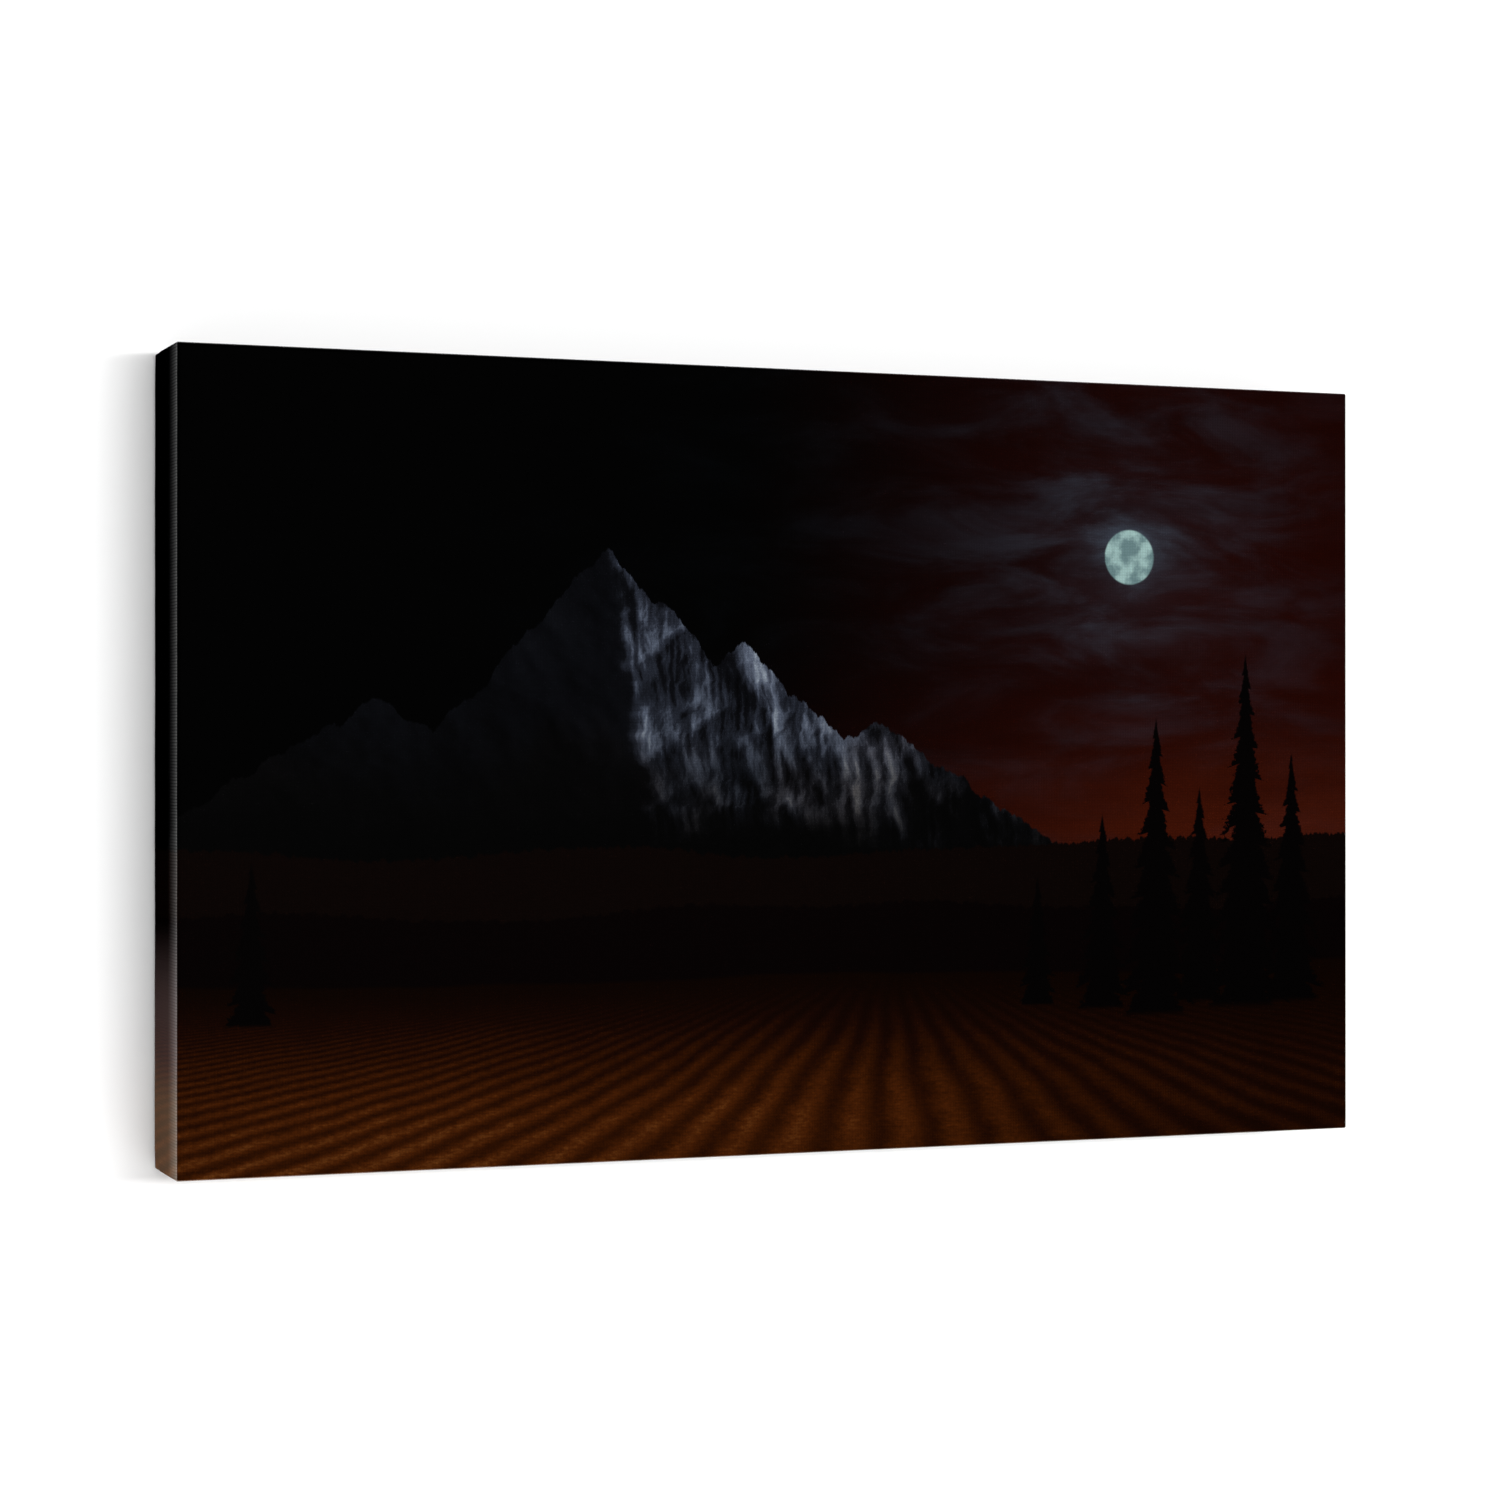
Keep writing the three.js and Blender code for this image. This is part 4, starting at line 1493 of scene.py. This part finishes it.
@dataclass
class Staples:
    """Wire staples through the folded margin, each a flat wire bent twice."""

    nodes: list[str]
    crown: float = 11.4 * MM
    leg: float = 7.9 * MM
    width: float = 1.2 * MM
    thickness: float = 0.7 * MM
    shoulder: float = 0.75 * MM
    rounding: float = 0.22 * MM
    wobble: float = 0.03
    seed: int = 7

    @staticmethod
    def turn_of(node: str) -> float:
        """The turn about Y that lays a level crown along a staple's own crown.

        Args:
            node: the staple that it stands for.

        Returns:
            The turn in radians.
        """
        verts = np.array([v.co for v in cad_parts[node].data.vertices])[:, [0, 2]]
        _, axes = np.linalg.eigh(np.cov((verts - verts.mean(0)).T))
        across, up = axes[:, -1]
        return -math.atan2(up, across)

    def places(self) -> bpy.types.Mesh:
        """Mark the back of each staple.

        Returns:
            A mesh of bare points, each with its staple's turn.
        """
        mesh = bpy.data.meshes.new("staple_places")
        boxes = [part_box(node) for node in self.nodes]
        backs = [((low.x + high.x) / 2, high.y, (low.z + high.z) / 2) for low, high in boxes]
        mesh.from_pydata(backs, [], [])
        turns = mesh.attributes.new("turn", "FLOAT", "POINT")
        turns.data.foreach_set("value", [self.turn_of(node) for node in self.nodes])
        return mesh

    def tree(self, material: bpy.types.Material) -> GeometryTree:
        """The tree that bends the wire and sets one staple on every point.

        Args:
            material: the wire's finish.

        Returns:
            The finished tree.
        """
        sizes = {"Crown": self.crown, "Leg": self.leg, "Width": self.width, "Thickness": self.thickness}
        tree = GeometryTree(
            "WireStaple", **sizes, Shoulder=self.shoulder, Rounding=self.rounding, Seed=self.seed
        )
        points, crown, leg, width, thick, shoulder, rounding, seed = tree.given(
            "Geometry Crown Leg Width Thickness Shoulder Rounding Seed"
        )
        half = (crown - thick) / 2.0
        index = tree.out("GeometryNodeInputIndex")
        side = tree.math("SIGN", index - 1.5)
        is_end = tree.math("GREATER_THAN", abs(index - 1.5), 1.0)
        four = tree.evenly(tree.out("GeometryNodeCurvePrimitiveLine"), "COUNT", Count=4)
        spot = tree.join(side * half, is_end * leg * -1.0 - thick * 0.5, 0.0)
        bent = tree.out("GeometryNodeSetPosition", {"Geometry": four, "Position": spot})
        section = tree.out("GeometryNodeCurvePrimitiveQuadrilateral", {"Width": width, "Height": thick})
        wire = tree.sweep(tree.rounded(bent, 4, shoulder), tree.rounded(section, 2, rounding))
        turn = tree.named("turn", "FLOAT") + tree.between(-self.wobble, self.wobble, seed)
        rotation = tree.out("FunctionNodeEulerToRotation", {0: tree.join(0.0, turn, 0.0)})
        tree.scatter(material, Points=points, Instance=wire, Rotation=rotation)
        return tree

    def build(self, material: bpy.types.Material) -> bpy.types.Object:
        """Build all the staples as one piece."""
        mesh = self.tree(material).grow("staple_wires", self.places())
        return new_piece("staple_wires", smoothed(mesh, 50.0), material)


@dataclass
class FrayedEdge:
    """Loose thread ends along the cut edge of the cloth.

    Attributes:
        share: how many of the cut threads have a loose end.
        least: the least roll, tilt and stray of a thread, in radians.
        greatest: the greatest of each.
    """

    cloth: StretchedCloth
    spacing: float = 1.05 * MM
    share: float = 0.55
    shortest: float = 0.8 * MM
    longest: float = 3.2 * MM
    radius: float = 0.13 * MM
    bend: float = 0.35 * MM
    least: tuple[float, float, float] = (0.0, -0.16, -0.55)
    greatest: tuple[float, float, float] = (6.28, 0.16, 0.55)
    seed: int = 11

    def edge(self) -> bpy.types.Mesh:
        """Lay a line along the cut edge.

        Returns:
            A closed line whose points know the way into the window.
        """
        points, ways = self.cloth.edge_loop()
        mesh = bpy.data.meshes.new("cut_edge")
        links = [(i, (i + 1) % len(points)) for i in range(len(points))]
        mesh.from_pydata([tuple(point) for point in points], links, [])
        inwards = mesh.attributes.new("inwards", "FLOAT_VECTOR", "POINT")
        inwards.data.foreach_set("vector", [part for way in ways for part in way])
        return mesh

    def tree(self, material: bpy.types.Material) -> GeometryTree:
        """The tree that lays a thread end on some of the cut threads.

        Args:
            material: the threads' finish.

        Returns:
            The finished tree.
        """
        lengths = {"Spacing": self.spacing, "Shortest": self.shortest, "Longest": self.longest}
        tree = GeometryTree(
            "ThreadEnds", **lengths, Radius=self.radius, Bend=self.bend, Share=self.share, Seed=self.seed
        )
        edge, spacing, shortest, longest, radius, bend, share, seed = tree.given(
            "Geometry Spacing Shortest Longest Radius Bend Share Seed"
        )
        cut = tree.evenly(tree.out("GeometryNodeMeshToCurve", {"Mesh": edge}), "LENGTH", Length=spacing)
        line = tree.out("GeometryNodeCurvePrimitiveLine", {"Start": ORIGIN, "End": (1, 0, 0)})
        along, _, _ = tree.split(tree.out("GeometryNodeInputPosition"))
        arch = tree.math("SINE", along * 2.4) * bend
        pull = {"Geometry": tree.evenly(line, "COUNT", Count=4), "Offset": tree.join(0.0, arch, arch * 0.7)}
        section = tree.out("GeometryNodeCurvePrimitiveCircle", {"Resolution": 3, "Radius": radius})
        odds = {"Probability": share, "Seed": seed}
        limits = {0: self.least, 1: self.greatest, "Seed": seed + 2.0}
        stray = tree.out("FunctionNodeRandomValue", limits, data_type="FLOAT_VECTOR")
        way = tree.named("inwards", "FLOAT_VECTOR")
        turns = {
            "Rotation": tree.out("FunctionNodeAlignRotationToVector", {"Vector": way}, axis="X"),
            "Rotate By": tree.out("FunctionNodeEulerToRotation", {0: stray}),
        }
        tree.scatter(
            material,
            Points=cut,
            Selection=tree.out("FunctionNodeRandomValue", odds, 3, data_type="BOOLEAN"),
            Instance=tree.sweep(tree.out("GeometryNodeSetPosition", pull), section),
            Rotation=tree.out("FunctionNodeRotateRotation", turns, rotation_space="LOCAL"),
            Scale=tree.join(tree.between(shortest, longest, seed + 1.0), 1.0, 1.0),
        )
        return tree

    def build(self, material: bpy.types.Material) -> bpy.types.Object:
        """Build all the thread ends as one piece."""
        mesh = self.tree(material).grow("frayed_threads", self.edge())
        return new_piece("frayed_threads", smoothed(mesh, 80.0), material)


# ---------------------------------------------------------------- frame and fittings


@dataclass
class StretcherFrame:
    """The four mitred bars, which keep their own shape, and the eight keys in their corners."""

    key_rounding: float = 0.45 * MM

    def dress_bars(self, level: bpy.types.Material, upright: bpy.types.Material) -> None:
        """Give each bar the wood whose grain runs along it.

        Args:
            level: the finish of the top and bottom bars.
            upright: the finish of the side bars.
        """
        for name, material in (("top", level), ("bottom", level), ("left", upright), ("right", upright)):
            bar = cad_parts["stretcher_" + name]
            for slot in bar.material_slots:
                slot.material = material
            log.info("stretcher_%s: keeps its shape, finish %s", name, material.name)

    def build_key(self, node: str, material: bpy.types.Material) -> bpy.types.Object:
        """Build one key as a wedge with broken edges.

        Args:
            node: the key that it stands for.
            material: the wood.

        Returns:
            The piece.
        """
        shape = bmesh.new()
        shape.from_mesh(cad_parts[node].data)
        bmesh.ops.remove_doubles(shape, verts=shape.verts, dist=0.005 * MM)
        bmesh.ops.dissolve_limit(shape, angle_limit=0.02, verts=shape.verts, edges=shape.edges)
        piece = new_piece(node + "_wedge", closed_mesh(shape, node + "_wedge"), material)
        round_edges(piece, self.key_rounding, 3, 35.0)
        return piece


@dataclass
class SawtoothHanger:
    """A pressed strip with end tabs, a groove, and teeth below, on two round-headed nails."""

    strip_node: str = "hanger_strip"
    thickness: float = 0.9 * MM
    tab: float = 9.0 * MM
    joggle: float = 2.5 * MM
    tooth_pitch: float = 3.0 * MM
    tooth_depth: float = 2.2 * MM
    teeth: int = 9
    groove: float = 0.3 * MM
    groove_at: float = 0.66
    groove_width: float = 0.95 * MM
    rows: tuple = (0.0, 0.12, 0.30, 0.44, 0.55, 0.66, 0.80, 0.93, 1.0)
    edge_round: float = 0.14 * MM
    shank: float = 0.7 * MM

    def stations(self, half: float) -> list[tuple[float, float]]:
        """Places along the strip and how high its lower edge is there.

        Args:
            half: half of the strip's length.

        Returns:
            Pairs of place and lower edge, from the left end to the right.
        """
        reach = self.teeth * self.tooth_pitch / 2 + 0.4 * MM
        places = [round(x, 7) for x in np.linspace(-half, half, 49)]
        found = {x: -self.tooth_depth for x in places if abs(x) >= reach}
        for n in range(-(self.teeth // 2), self.teeth // 2 + 1):
            for share in (-0.5, -0.42, -0.08, 0.0, 0.08, 0.42, 0.5):
                place = round(n * self.tooth_pitch + share * self.tooth_pitch, 7)
                found[place] = -self.tooth_depth * abs(share) / 0.5
        return sorted(found.items())

    def build_strip(self, material: bpy.types.Material) -> bpy.types.Object:
        """Build the strip.

        Args:
            material: its plated finish.

        Returns:
            The piece.
        """
        low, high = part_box(self.strip_node)
        half = (high.x - low.x) / 2
        shape = bmesh.new()
        grid = []
        for x, lower in self.stations(half):
            from_tab = half - self.tab - abs(x)
            y = low.y + (high.y - self.thickness - low.y) * float(ease(from_tab / self.joggle))
            middle = float(ease((from_tab - self.joggle) / (3 * MM)))
            column = []
            for share in self.rows:
                z = lower + share * (high.z - lower)
                from_groove = (z - self.groove_at * high.z) / self.groove_width
                front = y - self.groove * middle * math.exp(-(from_groove**2))
                column.append([shape.verts.new((x, depth, z)) for depth in (front, front + self.thickness)])
            grid.append(column)
        for left, right in zip(grid, grid[1:]):
            for j in range(len(self.rows) - 1):
                shape.faces.new([left[j][0], right[j][0], right[j + 1][0], left[j + 1][0]])
                shape.faces.new([left[j][1], left[j + 1][1], right[j + 1][1], right[j][1]])
            shape.faces.new([left[0][0], left[0][1], right[0][1], right[0][0]])
            shape.faces.new([left[-1][0], right[-1][0], right[-1][1], left[-1][1]])
        for column in (grid[0], grid[-1]):
            for near, far in zip(column, column[1:]):
                shape.faces.new([near[0], far[0], far[1], near[1]])
        piece = new_piece("hanger_plate", closed_mesh(shape, "hanger_plate"), material)
        round_edges(piece, self.edge_round, 2, 50.0)
        return piece

    def build_nail(self, node: str, material: bpy.types.Material) -> bpy.types.Object:
        """Build one nail with a domed head.

        Args:
            node: the nail that it stands for.
            material: its finish.

        Returns:
            The piece.
        """
        low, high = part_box(node)
        head, under = (high.x - low.x) / 2, high.y - 0.8 * MM
        profile = [(0.0, low.y), (0.18 * MM, low.y + 0.1 * MM), (self.shank, low.y + 1.5 * MM)]
        profile += [(self.shank, under - 0.2 * MM), (self.shank + 0.15 * MM, under)]
        profile += [(head - 0.12 * MM, under), (head, under + 0.1 * MM), (head, under + 0.2 * MM)]
        for step in range(1, 7):
            angle = QUARTER * step / 6
            y = under + 0.2 * MM + 0.6 * MM * math.sin(angle)
            profile.append((head * math.cos(angle) if step < 6 else 0.0, y))
        mesh = turned(profile, (low + high) / 2, 32, node + "_round")
        return new_piece(node + "_round", smoothed(mesh, 35.0), material)


@dataclass
class Bumper:
    """A soft round foot with a rounded rim, a moulded ring and a shallow dished middle.

    Attributes:
        node: the foot that it stands for.
        rim: the radius of its rim.
        dish: the depth of its middle.
        ring: steps in from the rim and how far each is sunk, in millimetres.
        bowl: shares of the radius and how far each is sunk, in depths of the dish.
    """

    node: str
    rim: float = 1.0 * MM
    dish: float = 0.25 * MM
    ring: tuple = (
        (0.0, 0.02),
        (0.12, 0.16),
        (0.3, 0.36),
        (0.55, 0.4),
        (0.8, 0.36),
        (0.98, 0.16),
        (1.1, 0.04),
    )
    bowl: tuple = ((0.52, 0.04), (0.46, 0.2), (0.38, 0.9), (0.26, 1.1), (0.17, 1.0), (0.11, 0.5), (0.0, 0.4))

    def build(self, material: bpy.types.Material) -> bpy.types.Object:
        """Build the foot.

        Args:
            material: its rubber.

        Returns:
            The piece.
        """
        low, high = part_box(self.node)
        radius = (high.x - low.x) / 2
        profile = [(0.0, low.y), (radius - 0.3 * MM, low.y), (radius - 0.05 * MM, low.y + 0.12 * MM)]
        profile.append((radius, low.y + 0.4 * MM))
        for step in range(7):
            angle = QUARTER * step / 6
            y = high.y - self.rim * (1 - math.sin(angle))
            profile.append((radius - self.rim * (1 - math.cos(angle)), y))
        shelf = radius - self.rim - 0.45 * MM
        profile += [(shelf - reach * MM, high.y - sunk * MM) for reach, sunk in self.ring]
        profile += [(radius * share, high.y - self.dish * sunk) for share, sunk in self.bowl]
        mesh = turned(profile, (low + high) / 2, 48, self.node + "_foot")
        return new_piece(self.node + "_foot", smoothed(mesh, 35.0), material)


# ---------------------------------------------------------------- studio


@dataclass
class Studio:
    """A pale wall and floor, soft light, and the camera."""

    camera_at: tuple[float, float, float] = (-0.4472, -1.1519, -0.1186)
    yaw: float = 21.055
    pitch: float = 0.10
    lens: float = 80.19
    sensor: float = 36.0
    floor_at: float = -1.3
    reach: float = 3.2
    paleness: float = 0.9
    floor_glow: float = 0.5
    see_through_within: float = 0.2
    sky_light: float = 0.476
    key_at: tuple[float, float, float] = (0.355, -3.0, 0.105)
    key_size: tuple[float, float] = (2.574, 0.307)
    key_power: float = 80.0
    rear_at: tuple[float, float, float] = (0.95, 1.5, 1.15)
    rear_size: tuple[float, float] = (0.6, 0.6)
    rear_power: float = 30.0

    @staticmethod
    def hang(name: str, data: bpy.types.ID, at: tuple, heading: Vector) -> bpy.types.Object:
        """Put a camera or a light into the scene.

        Args:
            name: its name.
            data: the camera or the light.
            at: where it hangs.
            heading: the way it looks.

        Returns:
            The new object.
        """
        thing = bpy.data.objects.new(name, data)
        bpy.context.scene.collection.objects.link(thing)
        thing.location = at
        thing.rotation_euler = heading.to_track_quat("-Z", "Y").to_euler()
        return thing

    def place_camera(self) -> None:
        """Set the camera in front of the picture's left half, looking to the right."""
        data = bpy.data.cameras.new("camera")
        data.lens = self.lens
        data.sensor_width = self.sensor
        data.clip_start = 0.01
        yaw, pitch = math.radians(self.yaw), math.radians(self.pitch)
        heading = Vector((math.sin(yaw), math.cos(yaw), math.tan(pitch)))
        bpy.context.scene.camera = self.hang("camera", data, self.camera_at, heading)

    def panel(self, name: str, corners: list[tuple], material: bpy.types.Material) -> None:
        """Add a flat backdrop.

        Args:
            name: its name.
            corners: its four corners, anticlockwise from its front.
            material: its paint.
        """
        mesh = bpy.data.meshes.new(name)
        mesh.from_pydata(corners, [], [(0, 1, 2, 3)])
        panel = new_piece(name, mesh, material)

    def floor_paint(self) -> bpy.types.Material:
        """Mix plain pale paint for the floor, which glows a little where it is looked at.

        Returns:
            The paint.
        """
        look = Look("studio_floor")
        seen = look.out("ShaderNodeLightPath", output="Is Camera Ray")
        look.paint(Base_Color=(self.paleness,) * 3, Roughness=0.9, Emission_Color=WHITE)
        look.paint(Emission_Strength=seen * self.floor_glow)
        return look.material

    def wall_paint(self) -> bpy.types.Material:
        """Mix plain pale paint that is clear from behind, so that the back of the picture is lit and seen.

        Returns:
            The paint.
        """
        look = Look("studio_wall")
        look.tree.nodes.clear()
        paint = look.out("ShaderNodeBsdfDiffuse", {"Color": (self.paleness,) * 3})
        clear = look.out("ShaderNodeBsdfTransparent")
        behind = look.out("ShaderNodeNewGeometry", output="Backfacing")
        path = look.add("ShaderNodeLightPath").outputs
        names = ("Is Camera Ray", "Is Shadow Ray", "Ray Depth", "Ray Length")
        straight, shadow, depth, run = (Wire(look, path[name]) for name in names)
        first = look.math("LESS_THAN", depth, 1.5)
        far = look.math("GREATER_THAN", run, self.see_through_within)
        share = look.most(behind, first * (1.0 - straight) * look.most(shadow, 1.0 - far))
        mixed = look.out("ShaderNodeMixShader", {0: share, 1: paint, 2: clear})
        look.add("ShaderNodeOutputMaterial", {0: mixed})
        return look.material

    def softbox(self, name: str, at: tuple, size: tuple, power: float, target: Vector) -> None:
        """Hang a soft light that looks at a point.

        Args:
            name: its name.
            at: where it hangs.
            size: its width and height.
            power: its power in watts.
            target: the point that it looks at.
        """
        data = bpy.data.lights.new(name, "AREA")
        data.shape = "RECTANGLE"
        data.size, data.size_y = size
        data.energy = power
        self.hang(name, data, at, target - Vector(at)).visible_camera = False

    def light(self, target: Vector) -> None:
        """Light the picture from the front right and its back from the upper right, with an even sky.

        Args:
            target: the middle of the picture.
        """
        world = bpy.data.worlds.new("studio_sky")
        world.use_nodes = True
        tree = Tree(world.node_tree)
        background = world.node_tree.nodes["Background"]
        tree.plug(background.inputs["Color"], WHITE)
        seen = tree.out("ShaderNodeLightPath", output="Is Camera Ray")
        tree.plug(background.inputs["Strength"], seen * (1.0 - self.sky_light) + self.sky_light)
        bpy.context.scene.world = world
        self.softbox("key_softbox", self.key_at, self.key_size, self.key_power, target)
        self.softbox("rear_softbox", self.rear_at, self.rear_size, self.rear_power, target)

    def build(self, target: Vector) -> None:
        """Set up the whole studio round a point.

        Args:
            target: the middle of the picture.
        """
        r, z = self.reach, self.floor_at
        self.panel("wall", [(-r, 0.0, z), (r, 0.0, z), (r, 0.0, r), (-r, 0.0, r)], self.wall_paint())
        self.panel("floor", [(-r, -r, z), (r, -r, z), (r, r, z), (-r, r, z)], self.floor_paint())
        self.light(target)
        self.place_camera()
        bpy.context.scene.view_settings.view_transform = "Standard"
        log.info("studio: wall, floor, two softboxes and the camera")


# ---------------------------------------------------------------- the whole picture


@dataclass
class StretchedPrint:
    """The whole stretched print, built piece by piece."""

    size: PictureSize = field(default_factory=lambda: PictureSize.of_node("canvas"))
    effects: Effects = field(default_factory=Effects)
    bleed: float = 5.5 * MM
    foot_radius: float = 6.0 * MM
    tab_radius: float = 5.0 * MM

    def nodes_named(self, *starts: str) -> list[str]:
        """The frame's nodes whose names begin in each of some ways, in order."""
        return [name for start in starts for name in sorted(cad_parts) if name.startswith(start)]

    def middles(self, start: str) -> list[Vector]:
        """The middle of each node whose name begins in one way."""
        return [sum(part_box(name), Vector()) / 2 for name in self.nodes_named(start)]

    def build_cloth(self) -> None:
        """Build the cloth and the loose threads of its cut edge."""
        flats = [(at, self.foot_radius) for at in self.middles("bumper_")]
        flats += [(at, self.tab_radius) for at in self.middles("hanger_nail_")]
        cloth = StretchedCloth(self.size, self.middles("staple_"), flats)
        printed = PrintedCanvas(flat=cloth.flat_face, print_ends=cloth.to_margin + self.bleed)
        piece = cloth.build(printed.material(self.effects), RawCanvas().material(self.effects))
        finish_piece(piece, "printed_canvas", "canvas")
        threads = FrayedEdge(cloth).build(ThreadEnds().material(self.effects))
        finish_piece(threads, "printed_canvas")
        cloth.flat_cut
        log.info("cloth cut: %.3f x %.3f m", *cloth.flat_cut)

    def build_frame(self) -> None:
        """Build the bars and their keys."""
        woodwork = StretcherFrame()
        level = Softwood("pine_level")
        upright = Softwood("pine_upright", lie=Lie.UPRIGHT, heart=(0.0, 0.014, 0.02), knot=(0.2, 0.0, -0.2))
        woodwork.dress_bars(level.material(self.effects), upright.material(self.effects))
        inks = {"pale": ink(232, 208, 164), "dark": ink(203, 164, 108)}
        no_knot = (9.0, 9.0, 9.0)
        for lie, starts in ((Lie.LEVEL, ("key_top", "key_bottom")), (Lie.UPRIGHT, ("key_left", "key_right"))):
            name = f"key_wood_{lie.name.lower()}"
            wood = Softwood(name, lie=lie, ring=1.7 * MM, knot=no_knot, **inks).material(self.effects)
            for node in self.nodes_named(*starts):
                finish_piece(woodwork.build_key(node, wood), "key_wood", node)

    def build_fittings(self) -> None:
        """Build the staples, the hanger with its nails, and the bumpers."""
        metals = (
            Metal("staple_steel", bright=ink(206, 207, 208), dull=ink(168, 169, 171), scale=1.6),
            Metal("zinc_plate", bright=ink(203, 204, 200), dull=ink(164, 165, 160), roughest=0.55),
            Metal("nail_brass", bright=ink(214, 184, 116), dull=ink(168, 136, 76), smoothest=0.22),
        )
        steel, zinc, brass = (metal.material(self.effects) for metal in metals)
        rubber = Rubber("bumper_rubber").material(self.effects)
        names = self.nodes_named("staple_")
        finish_piece(Staples(names).build(steel), "staple_steel", *names)
        hanger = SawtoothHanger()
        finish_piece(hanger.build_strip(zinc), "zinc_strip", hanger.strip_node)
        for node in self.nodes_named("hanger_nail_"):
            finish_piece(hanger.build_nail(node, brass), "nail_brass", node)
        for node in self.nodes_named("bumper_"):
            finish_piece(Bumper(node).build(rubber), "bumper_rubber", node)


def main() -> None:
    """Build the print and the studio."""
    logging.basicConfig(level=logging.INFO, format="%(message)s")
    picture = StretchedPrint()
    picture.build_cloth()
    picture.build_frame()
    picture.build_fittings()
    size = picture.size
    Studio().build(Vector((0.0, size.front, size.middle)))


if __name__ == "__main__":
    main()
